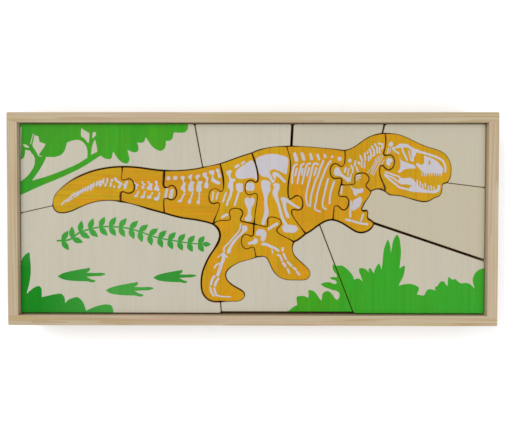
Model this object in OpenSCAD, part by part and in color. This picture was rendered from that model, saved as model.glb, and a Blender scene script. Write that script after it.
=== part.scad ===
// Wooden dinosaur jigsaw: a shallow pine tray with a grooved-in base panel, filled by nineteen thick sawn
// pieces. Eleven make the dinosaur and interlock with round tabs; eight plain ones fill in round it.
// Millimetres. +X along the tray, +Y up the picture, +Z up. Origin on the table, at the tray's centre.

/* [Tray] */
// Length inside the rails; everything in plan follows it
inner_l = 331; // [265:1:430]
// Thickness of the four rails
rail_t = 7; // [6:0.5:10]
// Height of the four rails
rail_h = 25.5; // [24:0.5:36]
// Radius of the tray's upright outer corners
corner_r = 1; // [0.5:0.5:2]
// Fingers in each corner joint, both rails together
fingers = 3; // [3:2:5]
// Thickness of the base panel
base_t = 3; // [2:0.5:3.5]
// Height of the base panel above the table
base_lift = 1.5; // [1:0.5:2]
// Depth of the groove that holds the base panel
groove_d = 3; // [1.5:0.5:4]

/* [Pieces] */
// Thickness of the puzzle pieces
piece_t = 18; // [10:1:18]
// Width of the saw cuts, as a share of the drawn width
cut_width = 1; // [0.8:0.05:1.2]
// How far the rounding of the sawn corners reaches
saw_ease = 0.6; // [0.2:0.1:1.2]
// How far the rounding of the corners against the rails reaches
rail_ease = 1.6; // [0.4:0.2:2.4]
// Straight steps that a curve takes between two of its points
steps = 5; // [3:1:7]

/* [Hidden] */

drawn_l = 331;              // the inside length at which the points below are drawn
drawn_w = 136;              // the inside width at which they are drawn
plan = inner_l / drawn_l;
inner_w = drawn_w * plan;
outer_l = inner_l + 2 * rail_t;
outer_w = inner_w + 2 * rail_t;
finger_h = rail_h / fingers;
piece_z = base_lift + base_t;
smooth_turn = 12;           // degrees of turn between two sides below which they run on smoothly
run_on = 1.5;               // how far a sawn side runs on past its ends, to reach the next side
reach = 4 * steps;          // how many points from a corner two sides may cross each other
over = 1;                   // how far a cutting shape runs past what it cuts

pine = [0.80, 0.68, 0.48];
plywood = [0.76, 0.66, 0.50];
bare_wood = [0.86, 0.80, 0.68];
yellow = [0.90, 0.64, 0.10];

// ---- Points. Each is [x, y, half the width of the cut there]. ----

// Half widths of a cut, from where two pieces nearly touch to where they lie apart
tight = 0.14;
thin = 0.22;
even = 0.34;
loose = 0.45;
open = 0.56;
wide = 0.72;
edge = 0.6;                 // the whole gap between a piece and a rail
front_edge = 1.1;           // the same along the front rail, as the pieces sit towards the back
ground_edge = 2.2;          // the same at the ground piece, which was sawn short

half_l = drawn_l / 2;
half_w = drawn_w / 2;

// Where the cuts between the outer pieces meet the rails
left_end = [-half_l, 4.1];
top_end_1 = [-41, half_w];
top_end_2 = [28.5, half_w];
top_end_3 = [93.7, half_w];
right_end_1 = [half_l, 22.5];
right_end_2 = [half_l, -29.3];
bottom_end_1 = [72.6, -half_w];
bottom_end_2 = [-21.8, -half_w];
corner_tl = [-half_l, half_w];
corner_tr = [half_l, half_w];
corner_br = [half_l, -half_w];
corner_bl = [-half_l, -half_w];

// The dinosaur's outline, clockwise from the tip of its tail. Each run starts where a cut meets it.
runs = [
    // 0: top of the tail tip
    [[-141.9, 9.5, even], [-141.7, 12.5, tight], [-140.6, 16.4, tight], [-137.6, 20.3, tight],
     [-133.6, 23.9, thin], [-128.6, 27.5, even], [-122.6, 30.6, open], [-116.6, 33.1, open],
     [-110.6, 34.9, open], [-103.6, 36.3, open], [-97.6, 37, open]],
    // 1: top of the tail's middle
    [[-92.3, 37.2, open], [-86.6, 37.1, open], [-80.6, 36.6, open], [-74.6, 35.8, open], [-68.6, 35, open]],
    // 2: top of the tail's base, under the tree piece
    [[-62.6, 34.5, open], [-56.6, 34.4, even], [-50.6, 34.6, even], [-44.6, 35.1, even],
     [-39.6, 35.8, even]],
    // 3: top of the tail's base, under the sky
    [[-35.2, 36.7, even], [-30.6, 37.7, tight], [-26.6, 38.5, thin]],
    // 4: top of the pelvis
    [[-22.8, 39.4, even], [-16.6, 41.5, even], [-10.6, 43.7, even], [-5.6, 45.4, even]],
    // 5: top of the thigh
    [[-0.3, 47.1, even], [4.4, 49, even], [10.3, 50.5, thin], [17.3, 51.5, tight]],
    // 6: top of the ribcage, to the left of the wide cut
    [[24.3, 51.7, even]],
    // 7: top of the ribcage, to the right of it
    [[27.7, 51.8, even], [34.3, 51.6, tight], [41.3, 51.2, tight], [49.3, 50.5, tight], [57.3, 49.8, thin]],
    // 8: top of the neck
    [[65.6, 48.9, even], [69.3, 49.9, thin], [73.3, 52, thin], [77.3, 54.9, thin], [81.3, 57.6, thin],
     [85.3, 59.4, thin], [88.8, 60.3, even]],
    // 9: top of the neck, under the head's sky piece
    [[92, 60.8, even]],
    // 10: top of the head and the snout
    [[94, 60.9, even], [98.3, 60.7, thin], [102.3, 60.2, tight], [106.3, 59.1, tight],
     [110.3, 57.4, tight], [114.3, 55.4, tight], [119.3, 53.1, tight], [124.3, 51.2, tight],
     [129.3, 49.7, tight], [133.3, 48.2, tight], [136.8, 45.8, tight], [139.3, 42, tight],
     [140.7, 37.7, tight], [140.8, 33.2, tight], [140.2, 29.7, thin], [139.1, 27.4, thin]],
    // 11: front and underside of the jaw
    [[137.6, 26, even], [135.6, 25.5, even], [134.6, 24, thin], [134.4, 21.2, thin],
     [133.8, 18.4, thin], [132.2, 16.5, thin], [129.2, 15.4, thin], [126.5, 13.7, thin],
     [123.8, 12.8, even], [120.5, 12.7, even], [116.2, 13.6, even], [110.2, 15.3, thin],
     [105.2, 16.7, thin], [100.7, 17.1, thin], [97.2, 17.7, even]],
    // 12: underside of the neck
    [[94.2, 19.8, even], [91.6, 21.3, open], [88.8, 21.6, even], [86.4, 21.1, even]],
    // 13: chest and hand, down to the tip
    [[84.4, 19.9, even], [83.8, 17.9, thin], [82, 15, thin], [79.8, 11.8, even], [78.4, 9, even],
     [77.7, 7, even], [78.8, 6.1, open], [81.1, 6.2, open], [82, 4.9, even], [81.8, 2.1, even],
     [82.5, 0.4, open], [84.4, -0.8, open]],
    // 14: underside of the arm piece
    [[86.2, -2.6, open], [85.7, -4.6, loose], [84, -6.8, open], [81.2, -8.6, open], [77.7, -9.4, open],
     [74.2, -8.8, open], [70.7, -6.9, open], [66.7, -4.3, open], [62.2, -1.8, open]],
    // 15: belly, over the bush piece
    [[57.4, -0.4, open], [53.8, -0.7, open], [50.6, -2, open]],
    // 16: belly, over the ground piece
    [[47.8, -3.7, open], [44.2, -6.3, open], [41.2, -8.5, open]],
    // 17: underside of the thigh
    [[38.1, -10.3, open], [35.2, -12.6, open], [32.4, -14.7, open]],
    // 18: round the front leg and its foot
    [[29.8, -16.1, open], [28.8, -18.6, even], [28.6, -21.6, thin], [29.7, -25.1, thin],
     [32.2, -28.1, thin], [35.7, -31.3, thin], [38.7, -34, tight], [40.9, -37, tight],
     [41.1, -39.9, tight], [39.5, -42.3, tight], [36.7, -43.2, tight], [31.2, -43.3, tight],
     [25.2, -43.1, tight], [21.2, -42.1, tight], [18.2, -40.3, tight], [15.7, -37.6, thin],
     [13.8, -34.3, thin], [12, -30.3, thin], [10.2, -27.4, thin], [8, -26.5, thin], [5.4, -26.6, even]],
    // 19: inside of the rear leg and top of its foot
    [[2.8, -27, even], [-0.4, -28.2, tight], [-4.8, -29.4, tight], [-9.8, -31, tight],
     [-13.8, -33.2, thin], [-16.8, -35.5, even], [-18.6, -38.2, even], [-18.7, -41.2, even],
     [-17.1, -44.2, even], [-14.5, -46.6, loose], [-11.3, -48.6, loose], [-8.1, -50.4, loose],
     [-5.7, -52.5, even], [-5.4, -54.8, thin], [-7.1, -57.2, tight], [-9.8, -58.4, tight],
     [-14.8, -58.6, tight], [-18.8, -58.7, thin]],
    // 20: heel and back of the rear leg
    [[-22.6, -58.8, open], [-25.6, -58.9, open], [-28.4, -58.6, open], [-31.4, -57.3, open],
     [-34.1, -54.7, open], [-35.7, -51.2, open], [-36.3, -46.2, open], [-36, -41.2, open],
     [-34.9, -36.2, open], [-32.9, -31.2, open], [-30.3, -26.2, open], [-27.5, -22, open],
     [-25.1, -18.2, wide], [-23.5, -14.7, wide], [-22.9, -11.2, wide], [-23.5, -8.4, wide],
     [-25.1, -5.8, wide]],
    // 21: underside of the tail's base
    [[-27.9, -3.6, open], [-31.1, -2.4, open], [-35.2, -1.4, open], [-39.7, -0.5, open], [-44.7, 0.2, open],
     [-50.7, 1.1, open], [-56.7, 2.6, open]],
    // 22: underside of the tail's middle
    [[-62.6, 4.3, open], [-68.7, 5.9, open], [-74.7, 7.6, open], [-80.7, 9.4, even], [-87.7, 11.3, thin]],
    // 23: underside of the tail tip
    [[-93.6, 12.5, open], [-98.6, 13.1, thin], [-104.6, 13.2, thin], [-109.6, 12.7, thin],
     [-114.6, 11.5, thin], [-119.6, 9.7, thin], [-124.6, 7.5, even], [-129.6, 5.4, even],
     [-134.6, 4.4, even], [-138.6, 4.9, even], [-140.8, 6.8, even]]
];

hip_point = [1.3, -3.3, open];         // pelvis, thigh and both legs meet here
chest_point = [63.1, 24.6, open];    // ribcage, neck and arm meet here

// The cuts inside the dinosaur, each with its tab, between the points where they end
tail_tip_cut = [
    runs[1][0], [-92.6, 32.6, thin], [-93, 29.3, tight], [-92.4, 27.9, thin], [-90.2, 27.9, thin],
    [-87.5, 28.7, even], [-85.1, 27.1, even], [-83.8, 23.6, loose], [-84.2, 20.5, loose],
    [-86.2, 18.7, loose],
    [-89.1, 18.5, even], [-91.6, 19.4, even], [-93.2, 19, open], [-93.7, 16.8, wide], runs[23][0]
];
tail_middle_cut = [
    runs[2][0], [-62.7, 32.6, 0.85], [-62.9, 28.7, 0.75], [-63.1, 24.3, wide], [-62.2, 22.6, open],
    [-60.2, 22.7, even], [-57.6, 23.9, even], [-55.5, 23.2, even], [-54, 20.6, loose], [-53.9, 17.3, loose],
    [-55.3, 14.6, even], [-57.9, 13.7, even], [-60.5, 14.7, even], [-62.4, 14.4, even], [-62.9, 12.1, even],
    runs[22][0]
];
tail_base_cut = [
    runs[4][0], [-21.7, 34.8, open], [-20.7, 29.8, open], [-20.3, 24.8, loose], [-20.6, 21.2, thin],
    [-21.6, 19.7, thin], [-23.1, 20, thin], [-24.9, 21.4, tight], [-27.1, 21.6, tight],
    [-29.5, 20.4, thin], [-30.6, 17.7, thin], [-30.7, 14.3, even], [-29.5, 11.8, even], [-27.2, 11.1, even],
    [-25, 11.7, even], [-23.4, 11.1, thin], [-23.2, 9.4, tight], [-24.1, 6.6, tight], [-25.4, 3.2, thin],
    [-26.9, -0.4, loose], runs[21][0]
];
hip_cut = [
    runs[5][0], [0.9, 43.6, open], [2.4, 39.2, open], [3.6, 34.8, open], [4, 30.4, open],
    [3.9, 27.6, open], [3, 26.2, even], [1.6, 26.5, even], [-0.1, 27.6, even], [-2.3, 27.5, even],
    [-4.2, 25.8, even], [-5, 22.8, even], [-4.8, 19.8, thin], [-3.5, 17.8, thin], [-1.3, 17.4, thin],
    [1.2, 18.2, thin], [3, 18.1, thin], [3.6, 16.7, thin], [3.4, 12.8, thin], [2.8, 8.8, thin],
    [2.2, 4.8, thin], [1.8, 0.8, thin], hip_point
];
flank_cut = [
    runs[6][0], [25.4, 48.3, thin], [26.6, 43.9, thin], [27.2, 38.9, even], [26.9, 33.9, even],
    [26.1, 28.9, loose], [25.5, 23.9, loose], [25.4, 19.4, loose], [25.8, 15.9, even], [27, 14.3, even],
    [28.8, 15.2, even], [31, 16.7, loose], [33.3, 16.5, thin], [35.2, 14.7, even], [35.9, 11.9, even],
    [35.7, 8.9, loose], [34.2, 6.9, even], [31.8, 6.6, even], [29.5, 7, even], [28.2, 6.3, even],
    [28.1, 4.3, even], [29.3, 1.4, thin], [31.8, -2.1, thin], [34.7, -6.1, thin], runs[17][0]
];
shoulder_cut = [
    runs[8][0], [65.8, 45, even], [65.6, 41, even], [64.7, 38.3, thin], [63.2, 37.4, thin],
    [61.5, 38.3, even], [59.1, 39.5, even], [56.8, 38.6, even], [55.4, 35.8, even], [55.4, 32.6, even],
    [56.6, 30, even], [58.5, 29, even], [60.9, 29.2, even], [62.8, 29.1, even], [63.5, 27.7, open],
    chest_point
];
chest_cut = [
    chest_point, [62.3, 22.4, even], [61.6, 19.8, even], [61.3, 17.6, thin], [62.1, 16.3, thin],
    [64.3, 16.2, even], [66.7, 15.9, even], [68.2, 14.2, even], [68.5, 11.4, loose], [67.6, 8.5, loose],
    [65.7, 6.7, even], [63.7, 7, even], [61.6, 8.9, even], [59.6, 9.7, thin], [58.3, 8.8, thin],
    [58, 6, even], [57.7, 3, even], runs[15][0]
];
armpit_cut = [
    chest_point, [66.1, 24.4, thin], [69.3, 24.6, thin], [71.8, 24.9, thin], [72.8, 26, thin],
    [72.6, 28.2, thin], [72.9, 30.5, thin], [74.5, 32.3, even], [77.1, 32.9, even], [79.8, 32.6, even],
    [82.1, 30.8, even], [82.8, 28.1, even], [81.6, 25.9, even], [80.6, 24.4, even], [81.3, 22.7, even],
    [82.7, 21.2, even], runs[13][0]
];
nape_cut = [
    runs[10][0], [94.5, 57.1, loose], [94.4, 53.1, even], [93.6, 49.1, even], [93, 46.7, loose],
    [93.8, 45.4, loose], [95.8, 45.5, even], [98.1, 45.6, even], [99.9, 43.9, even], [100.7, 41.1, even],
    [100.2, 37.9, even], [98.5, 35.7, even], [96.3, 35.1, even], [94.2, 36.3, loose], [92.5, 38.1, loose],
    [91.1, 38.1, even], [90.3, 35.9, even], [90.4, 32.1, even], [91.5, 28.5, loose], [93.1, 25.1, loose],
    [94.1, 22.3, wide], runs[12][0]
];
groin_cut = [
    hip_point, [4.3, -4.1, thin], [7.3, -4.8, thin], [9.8, -5.3, thin], [11, -4.4, even],
    [11, -2.1, even], [11.2, 0.2, even], [12.5, 1.4, thin], [14.9, 1.5, thin], [17.9, 0.7, thin],
    [20.1, -0.7, thin], [20.6, -2.8, thin], [19.3, -5.1, thin], [17.7, -6.9, even], [17.7, -8.8, even],
    [19.4, -10.4, thin], [22.2, -12, thin], [25.8, -13.8, thin], runs[18][0]
];
knee_cut = [
    runs[21][0], [-25.3, -1.6, thin], [-20.7, -0.9, thin], [-17.1, -0.7, thin], [-15.6, 0.1, thin],
    [-15.6, 1.9, thin], [-16.3, 4.1, thin], [-15.7, 6.4, thin], [-13.5, 7.6, thin], [-10.3, 7.6, thin],
    [-7.7, 6.5, even], [-6.7, 4.2, even], [-7.6, 1.8, even], [-8.4, 0, even], [-7.7, -1.4, even],
    [-5.7, -1.9, even], [-2.7, -2.5, even], hip_point
];
crotch_cut = [
    hip_point, [1.1, -6.2, loose], [1, -9.2, loose], [0.6, -11.4, even], [-0.7, -12.1, even],
    [-2.4, -11.4, thin], [-4.5, -10.9, thin], [-6.5, -11.9, thin], [-7.6, -14.5, thin],
    [-7.4, -17.7, thin], [-5.9, -20.3, thin], [-3.6, -21.1, thin], [-1.6, -20.4, thin],
    [0.2, -19.8, thin], [1.4, -20.6, thin], [2, -23.2, thin], runs[19][0]
];

// ---- Curves ----

function last(list) = list[len(list) - 1];
function backwards(list) = [for (i = [len(list) - 1:-1:0]) list[i]];
function blend_at(p, q, a, b, t) = (p * (b - t) + q * (t - a)) / (b - a);

// Centripetal Catmull-Rom curve from p1 to p2, at a share of the way
function curve_at(p0, p1, p2, p3, share) =
    let (t1 = sqrt(norm(p1 - p0)),
         t2 = t1 + sqrt(norm(p2 - p1)),
         t3 = t2 + sqrt(norm(p3 - p2)),
         t = t1 + share * (t2 - t1),
         a = blend_at(p0, p1, 0, t1, t),
         b = blend_at(p1, p2, t1, t2, t),
         c = blend_at(p2, p3, t2, t3, t),
         ab = blend_at(a, b, 0, t2, t),
         bc = blend_at(b, c, t1, t3, t))
    blend_at(ab, bc, t1, t2, t);

// A smooth line through a list of points, with both of its ends
function smooth(points) =
    let (before = 2 * points[0] - points[1],
         after = 2 * last(points) - points[len(points) - 2],
         all = concat([before], points, [after]))
    concat([for (i = [1:len(all) - 3], k = [0:steps - 1])
                curve_at(all[i - 1], all[i], all[i + 1], all[i + 2], k / steps)],
           [last(points)]);

outline = [for (run = runs) each run];
run_starts = [for (i = 0, at = 0; i < len(runs); at = at + len(runs[i]), i = i + 1) at];
function outline_point(i) = outline[(i + len(outline)) % len(outline)];

// The outline's closed curve, from where one run starts to where another ends
function round_outline(first, final) =
    let (end = run_starts[final] + len(runs[final]))
    concat([for (i = [run_starts[first]:end - 1], k = [0:steps - 1])
                curve_at(outline_point(i - 1), outline_point(i), outline_point(i + 1),
                         outline_point(i + 2), k / steps)],
           [outline_point(end)]);

function straight(from, to, half) = [[from[0], from[1], half], [to[0], to[1], half]];

// ---- From the drawn sides of a piece to its shape ----

function flat(p) = [p[0], p[1]];
function heading(from, to) = (flat(to) - flat(from)) / norm(flat(to) - flat(from));
function right_of(d) = [d[1], -d[0]];
function cross2(a, b) = a[0] * b[1] - a[1] * b[0];
function turn(a, b) = abs(atan2(cross2(a, b), a * b));

// A side moved into its piece by half of the cut's width, and run on straight past both of its ends
function sawn(side) =
    let (moved = [for (i = [0:len(side) - 1])
                     let (along = heading(side[max(i - 1, 0)], side[min(i + 1, len(side) - 1)]))
                     flat(side[i]) * plan + right_of(along) * side[i][2] * cut_width])
    [moved[0] - heading(moved[0], moved[1]) * run_on,
     each moved,
     last(moved) + heading(moved[len(moved) - 2], last(moved)) * run_on];

function crosses(a, b, c, d) =
    cross2(b - a, c - a) * cross2(b - a, d - a) < 0 && cross2(d - c, a - c) * cross2(d - c, b - c) < 0;

// Where two lines meet, each given by two of its points
function meeting(a, b, c, d) = a + (b - a) * cross2(c - a, d - c) / cross2(b - a, d - c);

// The segments near their common corner where one side crosses the next
function crossings(a, b) =
    [for (i = [max(0, len(a) - reach):len(a) - 2], j = [0:min(reach, len(b)) - 2])
        if (crosses(a[i], a[i + 1], b[j], b[j + 1])) [i, j]];

// The corner between two sides: its point, the last point kept of one and the first kept of the other
function corner(a, b) =
    let (found = crossings(a, b)[0],
         smooth_on = turn(heading(a[len(a) - 3], a[len(a) - 2]), heading(b[1], b[2])) < smooth_turn)
    smooth_on || is_undef(found)
        ? [(a[len(a) - 2] + b[1]) / 2, len(a) - 3, 2]
        : [meeting(a[found[0]], a[found[0] + 1], b[found[1]], b[found[1] + 1]), found[0], found[1] + 1];

// A line of points without the last bit of its length
function shortened(points, bit) =
    let (n = len(points), step = norm(points[n - 1] - points[n - 2]))
    step > bit || n == 2
        ? [for (i = [0:n - 1]) i < n - 1 ? points[i] : points[i] + (points[i - 1] - points[i]) * bit / step]
        : shortened([for (i = [0:n - 2]) points[i]], bit - step);

// A piece's sides, each from corner to corner
function fitted(sides) =
    let (n = len(sides),
         corners = [for (k = [0:n - 1]) corner(sides[k], sides[(k + 1) % n])])
    [for (k = [0:n - 1])
        let (start = corners[(k + n - 1) % n], end = corners[k])
        [start[0], for (i = [start[2]:1:end[1]]) sides[k][i], end[0]]];

// How far a corner's rounding reaches along its sides; corners against the rails are rounder
function easing(side, next) =
    let (p = last(side),
         at_rail = abs(p[0]) > inner_l / 2 - 1.5 * front_edge || abs(p[1]) > inner_w / 2 - 1.5 * front_edge)
    turn(heading(side[len(side) - 2], p), heading(next[0], next[1])) < smooth_turn ? 0
        : at_rail ? rail_ease : saw_ease;

// The whole loop, with its corners rounded
function rounded(sides) =
    let (n = len(sides),
         eases = [for (k = [0:n - 1]) easing(sides[k], sides[(k + 1) % n])],
         cut = [for (k = [0:n - 1])
                    let (at_start = backwards(shortened(backwards(sides[k]), eases[(k + n - 1) % n])))
                    shortened(at_start, eases[k])])
    [for (k = [0:n - 1])
        let (from = last(cut[k]), tip = last(sides[k]), to = cut[(k + 1) % n][0])
        each concat([for (i = [0:len(cut[k]) - (eases[k] > 0 ? 1 : 2)]) cut[k][i]],
                    eases[k] == 0 ? []
                        : [for (t = [0.2:0.2:0.8])
                            from * (1 - t) * (1 - t) + tip * 2 * t * (1 - t) + to * t * t])];

// A loop without the points that all but touch the next one
function spaced(loop) =
    [for (i = [0:len(loop) - 1]) if (norm(loop[(i + 1) % len(loop)] - loop[i]) > 0.03) loop[i]];

module piece(sides, tone) {
    color(tone)
        translate([0, 0, piece_z])
            linear_extrude(piece_t)
                polygon(spaced(rounded(fitted([for (side = sides) sawn(side)]))));
}

// ---- The dinosaur's pieces ----

module tail_tip() {
    piece([round_outline(0, 0), smooth(tail_tip_cut), round_outline(23, 23)], yellow);
}

module tail_middle() {
    piece([round_outline(1, 1), smooth(tail_middle_cut), round_outline(22, 22),
           backwards(smooth(tail_tip_cut))], yellow);
}

module tail_base() {
    piece([round_outline(2, 3), smooth(tail_base_cut), round_outline(21, 21),
           backwards(smooth(tail_middle_cut))], yellow);
}

module pelvis() {
    piece([round_outline(4, 4), smooth(hip_cut), backwards(smooth(knee_cut)),
           backwards(smooth(tail_base_cut))], yellow);
}

module thigh() {
    piece([round_outline(5, 5), smooth(flank_cut), round_outline(17, 17),
           backwards(smooth(groin_cut)), backwards(smooth(hip_cut))], yellow);
}

module ribcage() {
    piece([round_outline(6, 7), smooth(shoulder_cut), smooth(chest_cut), round_outline(15, 16),
           backwards(smooth(flank_cut))], yellow);
}

module neck() {
    piece([round_outline(8, 9), smooth(nape_cut), round_outline(12, 12),
           backwards(smooth(armpit_cut)), backwards(smooth(shoulder_cut))], yellow);
}

module head() {
    piece([round_outline(10, 11), backwards(smooth(nape_cut))], yellow);
}

module arm() {
    piece([smooth(armpit_cut), round_outline(13, 14), backwards(smooth(chest_cut))], yellow);
}

module rear_leg() {
    piece([smooth(knee_cut), smooth(crotch_cut), round_outline(19, 20)], yellow);
}

module front_leg() {
    piece([smooth(groin_cut), round_outline(18, 18), backwards(smooth(crotch_cut))], yellow);
}

// ---- The pieces round it, clockwise from the tail ----

left_cut = straight(runs[0][0], left_end, thin);
top_cut_1 = straight(top_end_1, runs[3][0], even);
top_cut_2 = straight(top_end_2, runs[7][0], 0.9);
top_cut_3 = straight(top_end_3, runs[9][0], open);
right_cut_1 = straight(right_end_1, runs[11][0], thin);
right_cut_2 = straight(right_end_2, runs[14][0], 0.85);
bottom_cut_1 = straight(bottom_end_1, runs[16][0], even);
bottom_cut_2 = straight(bottom_end_2, runs[20][0], even);

module tree_piece() {
    piece([left_cut, straight(left_end, corner_tl, edge), straight(corner_tl, top_end_1, edge), top_cut_1,
           backwards(round_outline(0, 2))], bare_wood);
}

module sky_piece_back() {
    piece([backwards(top_cut_1), straight(top_end_1, top_end_2, edge), top_cut_2,
           backwards(round_outline(3, 6))], bare_wood);
}

module sky_piece_neck() {
    piece([backwards(top_cut_2), straight(top_end_2, top_end_3, edge), top_cut_3,
           backwards(round_outline(7, 8))], bare_wood);
}

module sky_piece_head() {
    piece([backwards(top_cut_3), straight(top_end_3, corner_tr, edge), straight(corner_tr, right_end_1, edge),
           right_cut_1, backwards(round_outline(9, 10))], bare_wood);
}

module sky_piece_jaw() {
    piece([backwards(right_cut_1), straight(right_end_1, right_end_2, edge), right_cut_2,
           backwards(round_outline(11, 13))], bare_wood);
}

module bush_piece() {
    piece([backwards(right_cut_2), straight(right_end_2, corner_br, edge),
           straight(corner_br, bottom_end_1, front_edge), bottom_cut_1,
           backwards(round_outline(14, 15))], bare_wood);
}

module ground_piece() {
    piece([backwards(bottom_cut_1), straight(bottom_end_1, bottom_end_2, ground_edge), bottom_cut_2,
           backwards(round_outline(16, 19))], bare_wood);
}

module footprint_piece() {
    piece([backwards(bottom_cut_2), straight(bottom_end_2, corner_bl, front_edge),
           straight(corner_bl, left_end, edge), backwards(left_cut), backwards(round_outline(20, 23))],
          bare_wood);
}

// ---- The tray ----

// The tray's whole outer shape, with its upright corners rounded
module outer_shape() {
    linear_extrude(rail_h) {
        square([outer_l - 2 * corner_r, outer_w], center = true);
        square([outer_l, outer_w - 2 * corner_r], center = true);
        for (x = [-1, 1], y = [-1, 1])
            translate([x * (outer_l / 2 - corner_r), y * (outer_w / 2 - corner_r)])
                circle(r = corner_r, $fn = 48);
    }
}

// The panel's own size, which is also the room that the grooves leave for it
module panel_shape() {
    translate([0, 0, base_lift + base_t / 2])
        cube([inner_l + 2 * groove_d, inner_w + 2 * groove_d, base_t], center = true);
}

// The fingers of one kind at one end of the tray, as the blocks that the other kind gives up
module corner_blocks(first) {
    for (i = [first:2:fingers - 1], x = [-1, 1], y = [-1, 1])
        translate([x * (outer_l - rail_t + over) / 2, y * (outer_w - rail_t + over) / 2,
                   (i + 0.5) * finger_h])
            cube([rail_t + over, rail_t + over, finger_h], center = true);
}

// A long rail owns the lowest finger and every second one above it
module long_rail(side) {
    color(pine)
        difference() {
            intersection() {
                outer_shape();
                translate([0, side * (outer_w - rail_t) / 2, rail_h / 2])
                    cube([outer_l, rail_t, rail_h], center = true);
            }
            corner_blocks(1);
            panel_shape();
        }
}

module short_rail(side) {
    color(pine)
        difference() {
            intersection() {
                outer_shape();
                translate([side * (outer_l - rail_t) / 2, 0, rail_h / 2])
                    cube([rail_t, outer_w, rail_h], center = true);
            }
            corner_blocks(0);
            panel_shape();
        }
}

module rail_back() {
    long_rail(1);
}

module rail_front() {
    long_rail(-1);
}

module rail_left() {
    short_rail(-1);
}

module rail_right() {
    short_rail(1);
}

module base_panel() {
    color(plywood)
        panel_shape();
}

rail_back();
rail_front();
rail_left();
rail_right();
base_panel();
tail_tip();
tail_middle();
tail_base();
pelvis();
thigh();
ribcage();
neck();
head();
arm();
rear_leg();
front_leg();
tree_piece();
sky_piece_back();
sky_piece_neck();
sky_piece_head();
sky_piece_jaw();
bush_piece();
ground_piece();
footprint_piece();
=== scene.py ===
"""The looks of a wooden dinosaur jigsaw: nineteen sawn, printed pieces lying in a pine tray.

Each piece is rebuilt over its CAD outline with eased edges, and what is printed on it is a thin raised layer
of its own. Drawings are in millimetres from the tray's centre, +X along the tray and +Y towards its back
rail, at the size where the tray is 331 mm long inside; PLAN scales them to the frame.
"""

import math

import bpy
import numpy as np
from mathutils import Euler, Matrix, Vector
from mathutils.geometry import delaunay_2d_cdt


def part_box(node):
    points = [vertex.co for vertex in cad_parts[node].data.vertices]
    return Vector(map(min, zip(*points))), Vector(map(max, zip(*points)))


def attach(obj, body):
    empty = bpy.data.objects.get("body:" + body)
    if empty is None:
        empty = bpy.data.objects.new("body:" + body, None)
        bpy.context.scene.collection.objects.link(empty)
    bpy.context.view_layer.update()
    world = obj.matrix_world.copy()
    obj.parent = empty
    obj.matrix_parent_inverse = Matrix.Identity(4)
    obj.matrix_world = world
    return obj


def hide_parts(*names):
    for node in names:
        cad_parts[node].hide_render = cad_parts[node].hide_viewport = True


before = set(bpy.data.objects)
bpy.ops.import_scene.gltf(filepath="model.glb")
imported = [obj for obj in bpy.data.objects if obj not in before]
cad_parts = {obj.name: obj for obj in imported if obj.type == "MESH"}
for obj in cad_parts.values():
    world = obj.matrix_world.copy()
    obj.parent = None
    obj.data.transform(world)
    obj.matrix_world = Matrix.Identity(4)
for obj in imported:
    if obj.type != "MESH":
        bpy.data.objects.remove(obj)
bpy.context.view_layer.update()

MM = 0.001
DRAWN_LENGTH = 331          # mm between the short rails at the size of the drawings
PLAN = (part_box("rail_right")[0].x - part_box("rail_left")[1].x) / (DRAWN_LENGTH * MM)

DINOSAUR = [
    "tail_tip", "tail_middle", "tail_base", "pelvis", "thigh", "ribcage",
    "neck", "head", "arm", "rear_leg", "front_leg",
]
SURROUND = [
    "tree_piece", "sky_piece_back", "sky_piece_neck", "sky_piece_head", "sky_piece_jaw",
    "bush_piece", "ground_piece", "footprint_piece",
]

# The print lies a touch left of the tray's centre, and turned and sheared by a hair
PRINT_SHIFT = np.array([-0.72, -0.17])
PRINT_SKEW = np.array([[0.9994, 0.0015], [0.0027, 0.9996]])

# How far each piece's tone leans: lemon for the yellow, tan for the bare wood
LEAN = {
    "tail_tip": 1.0, "tail_middle": 0.1, "pelvis": 0.7, "thigh": 0.6, "ribcage": 0.0, "neck": 0.5,
    "head": 0.5, "arm": 0.35, "rear_leg": 0.1, "front_leg": 0.25,
    "sky_piece_neck": 0.5, "sky_piece_head": 0.5, "sky_piece_jaw": 1.0, "bush_piece": 0.2,
}
# How far each piece's green leans from leaf green to a bluer one
BLUER = {"footprint_piece": 1.0}
# Pieces whose grain runs along the tray, where the others' runs across it
GRAIN_ALONG_X = ["tail_tip", "tail_middle", "tail_base"]

EASING = 0.4                # mm, radius of the sanded edges of the pieces
RIM = 1.5                   # mm from the edge over which handling wear and painted shade show
# How far in from the edge, in mm, a piece's top gets a row of points
LEVELS = [0.08 * EASING, 0.3 * EASING, 0.62 * EASING, EASING, EASING + 0.15, RIM]
SAME_POINT = 0.0005         # mm within which crossing outlines share a point
SUNK = 0.05                 # mm that a printed layer reaches down into the wood
BONE_LAYER = 0.08           # mm that the bones stand proud of the paint
GREEN_LAYER = 0.05          # mm that the green print stands proud of the wood
RAIL_EDGE = 0.35            # mm taken off the sharp edges of the rails and the panel

RINGS = 330.0               # growth rings in a metre across a rail
RING_SLOPE = 0.8            # metres that a ring moves across for each metre up
RING_DRIFT = 0.016          # metres that the rings wander along a rail

CAMERA_PLACE = Vector((1.33, 4.39, 300))    # mm from the tray's centre, at the size of the drawings
CAMERA_TURN = (0.873, -0.234, -0.075)       # degrees off straight down, about X, Y and Z
LENS, SENSOR = 27.856, 36                   # mm


# ---------------------------------------------------------------- drawing

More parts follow.
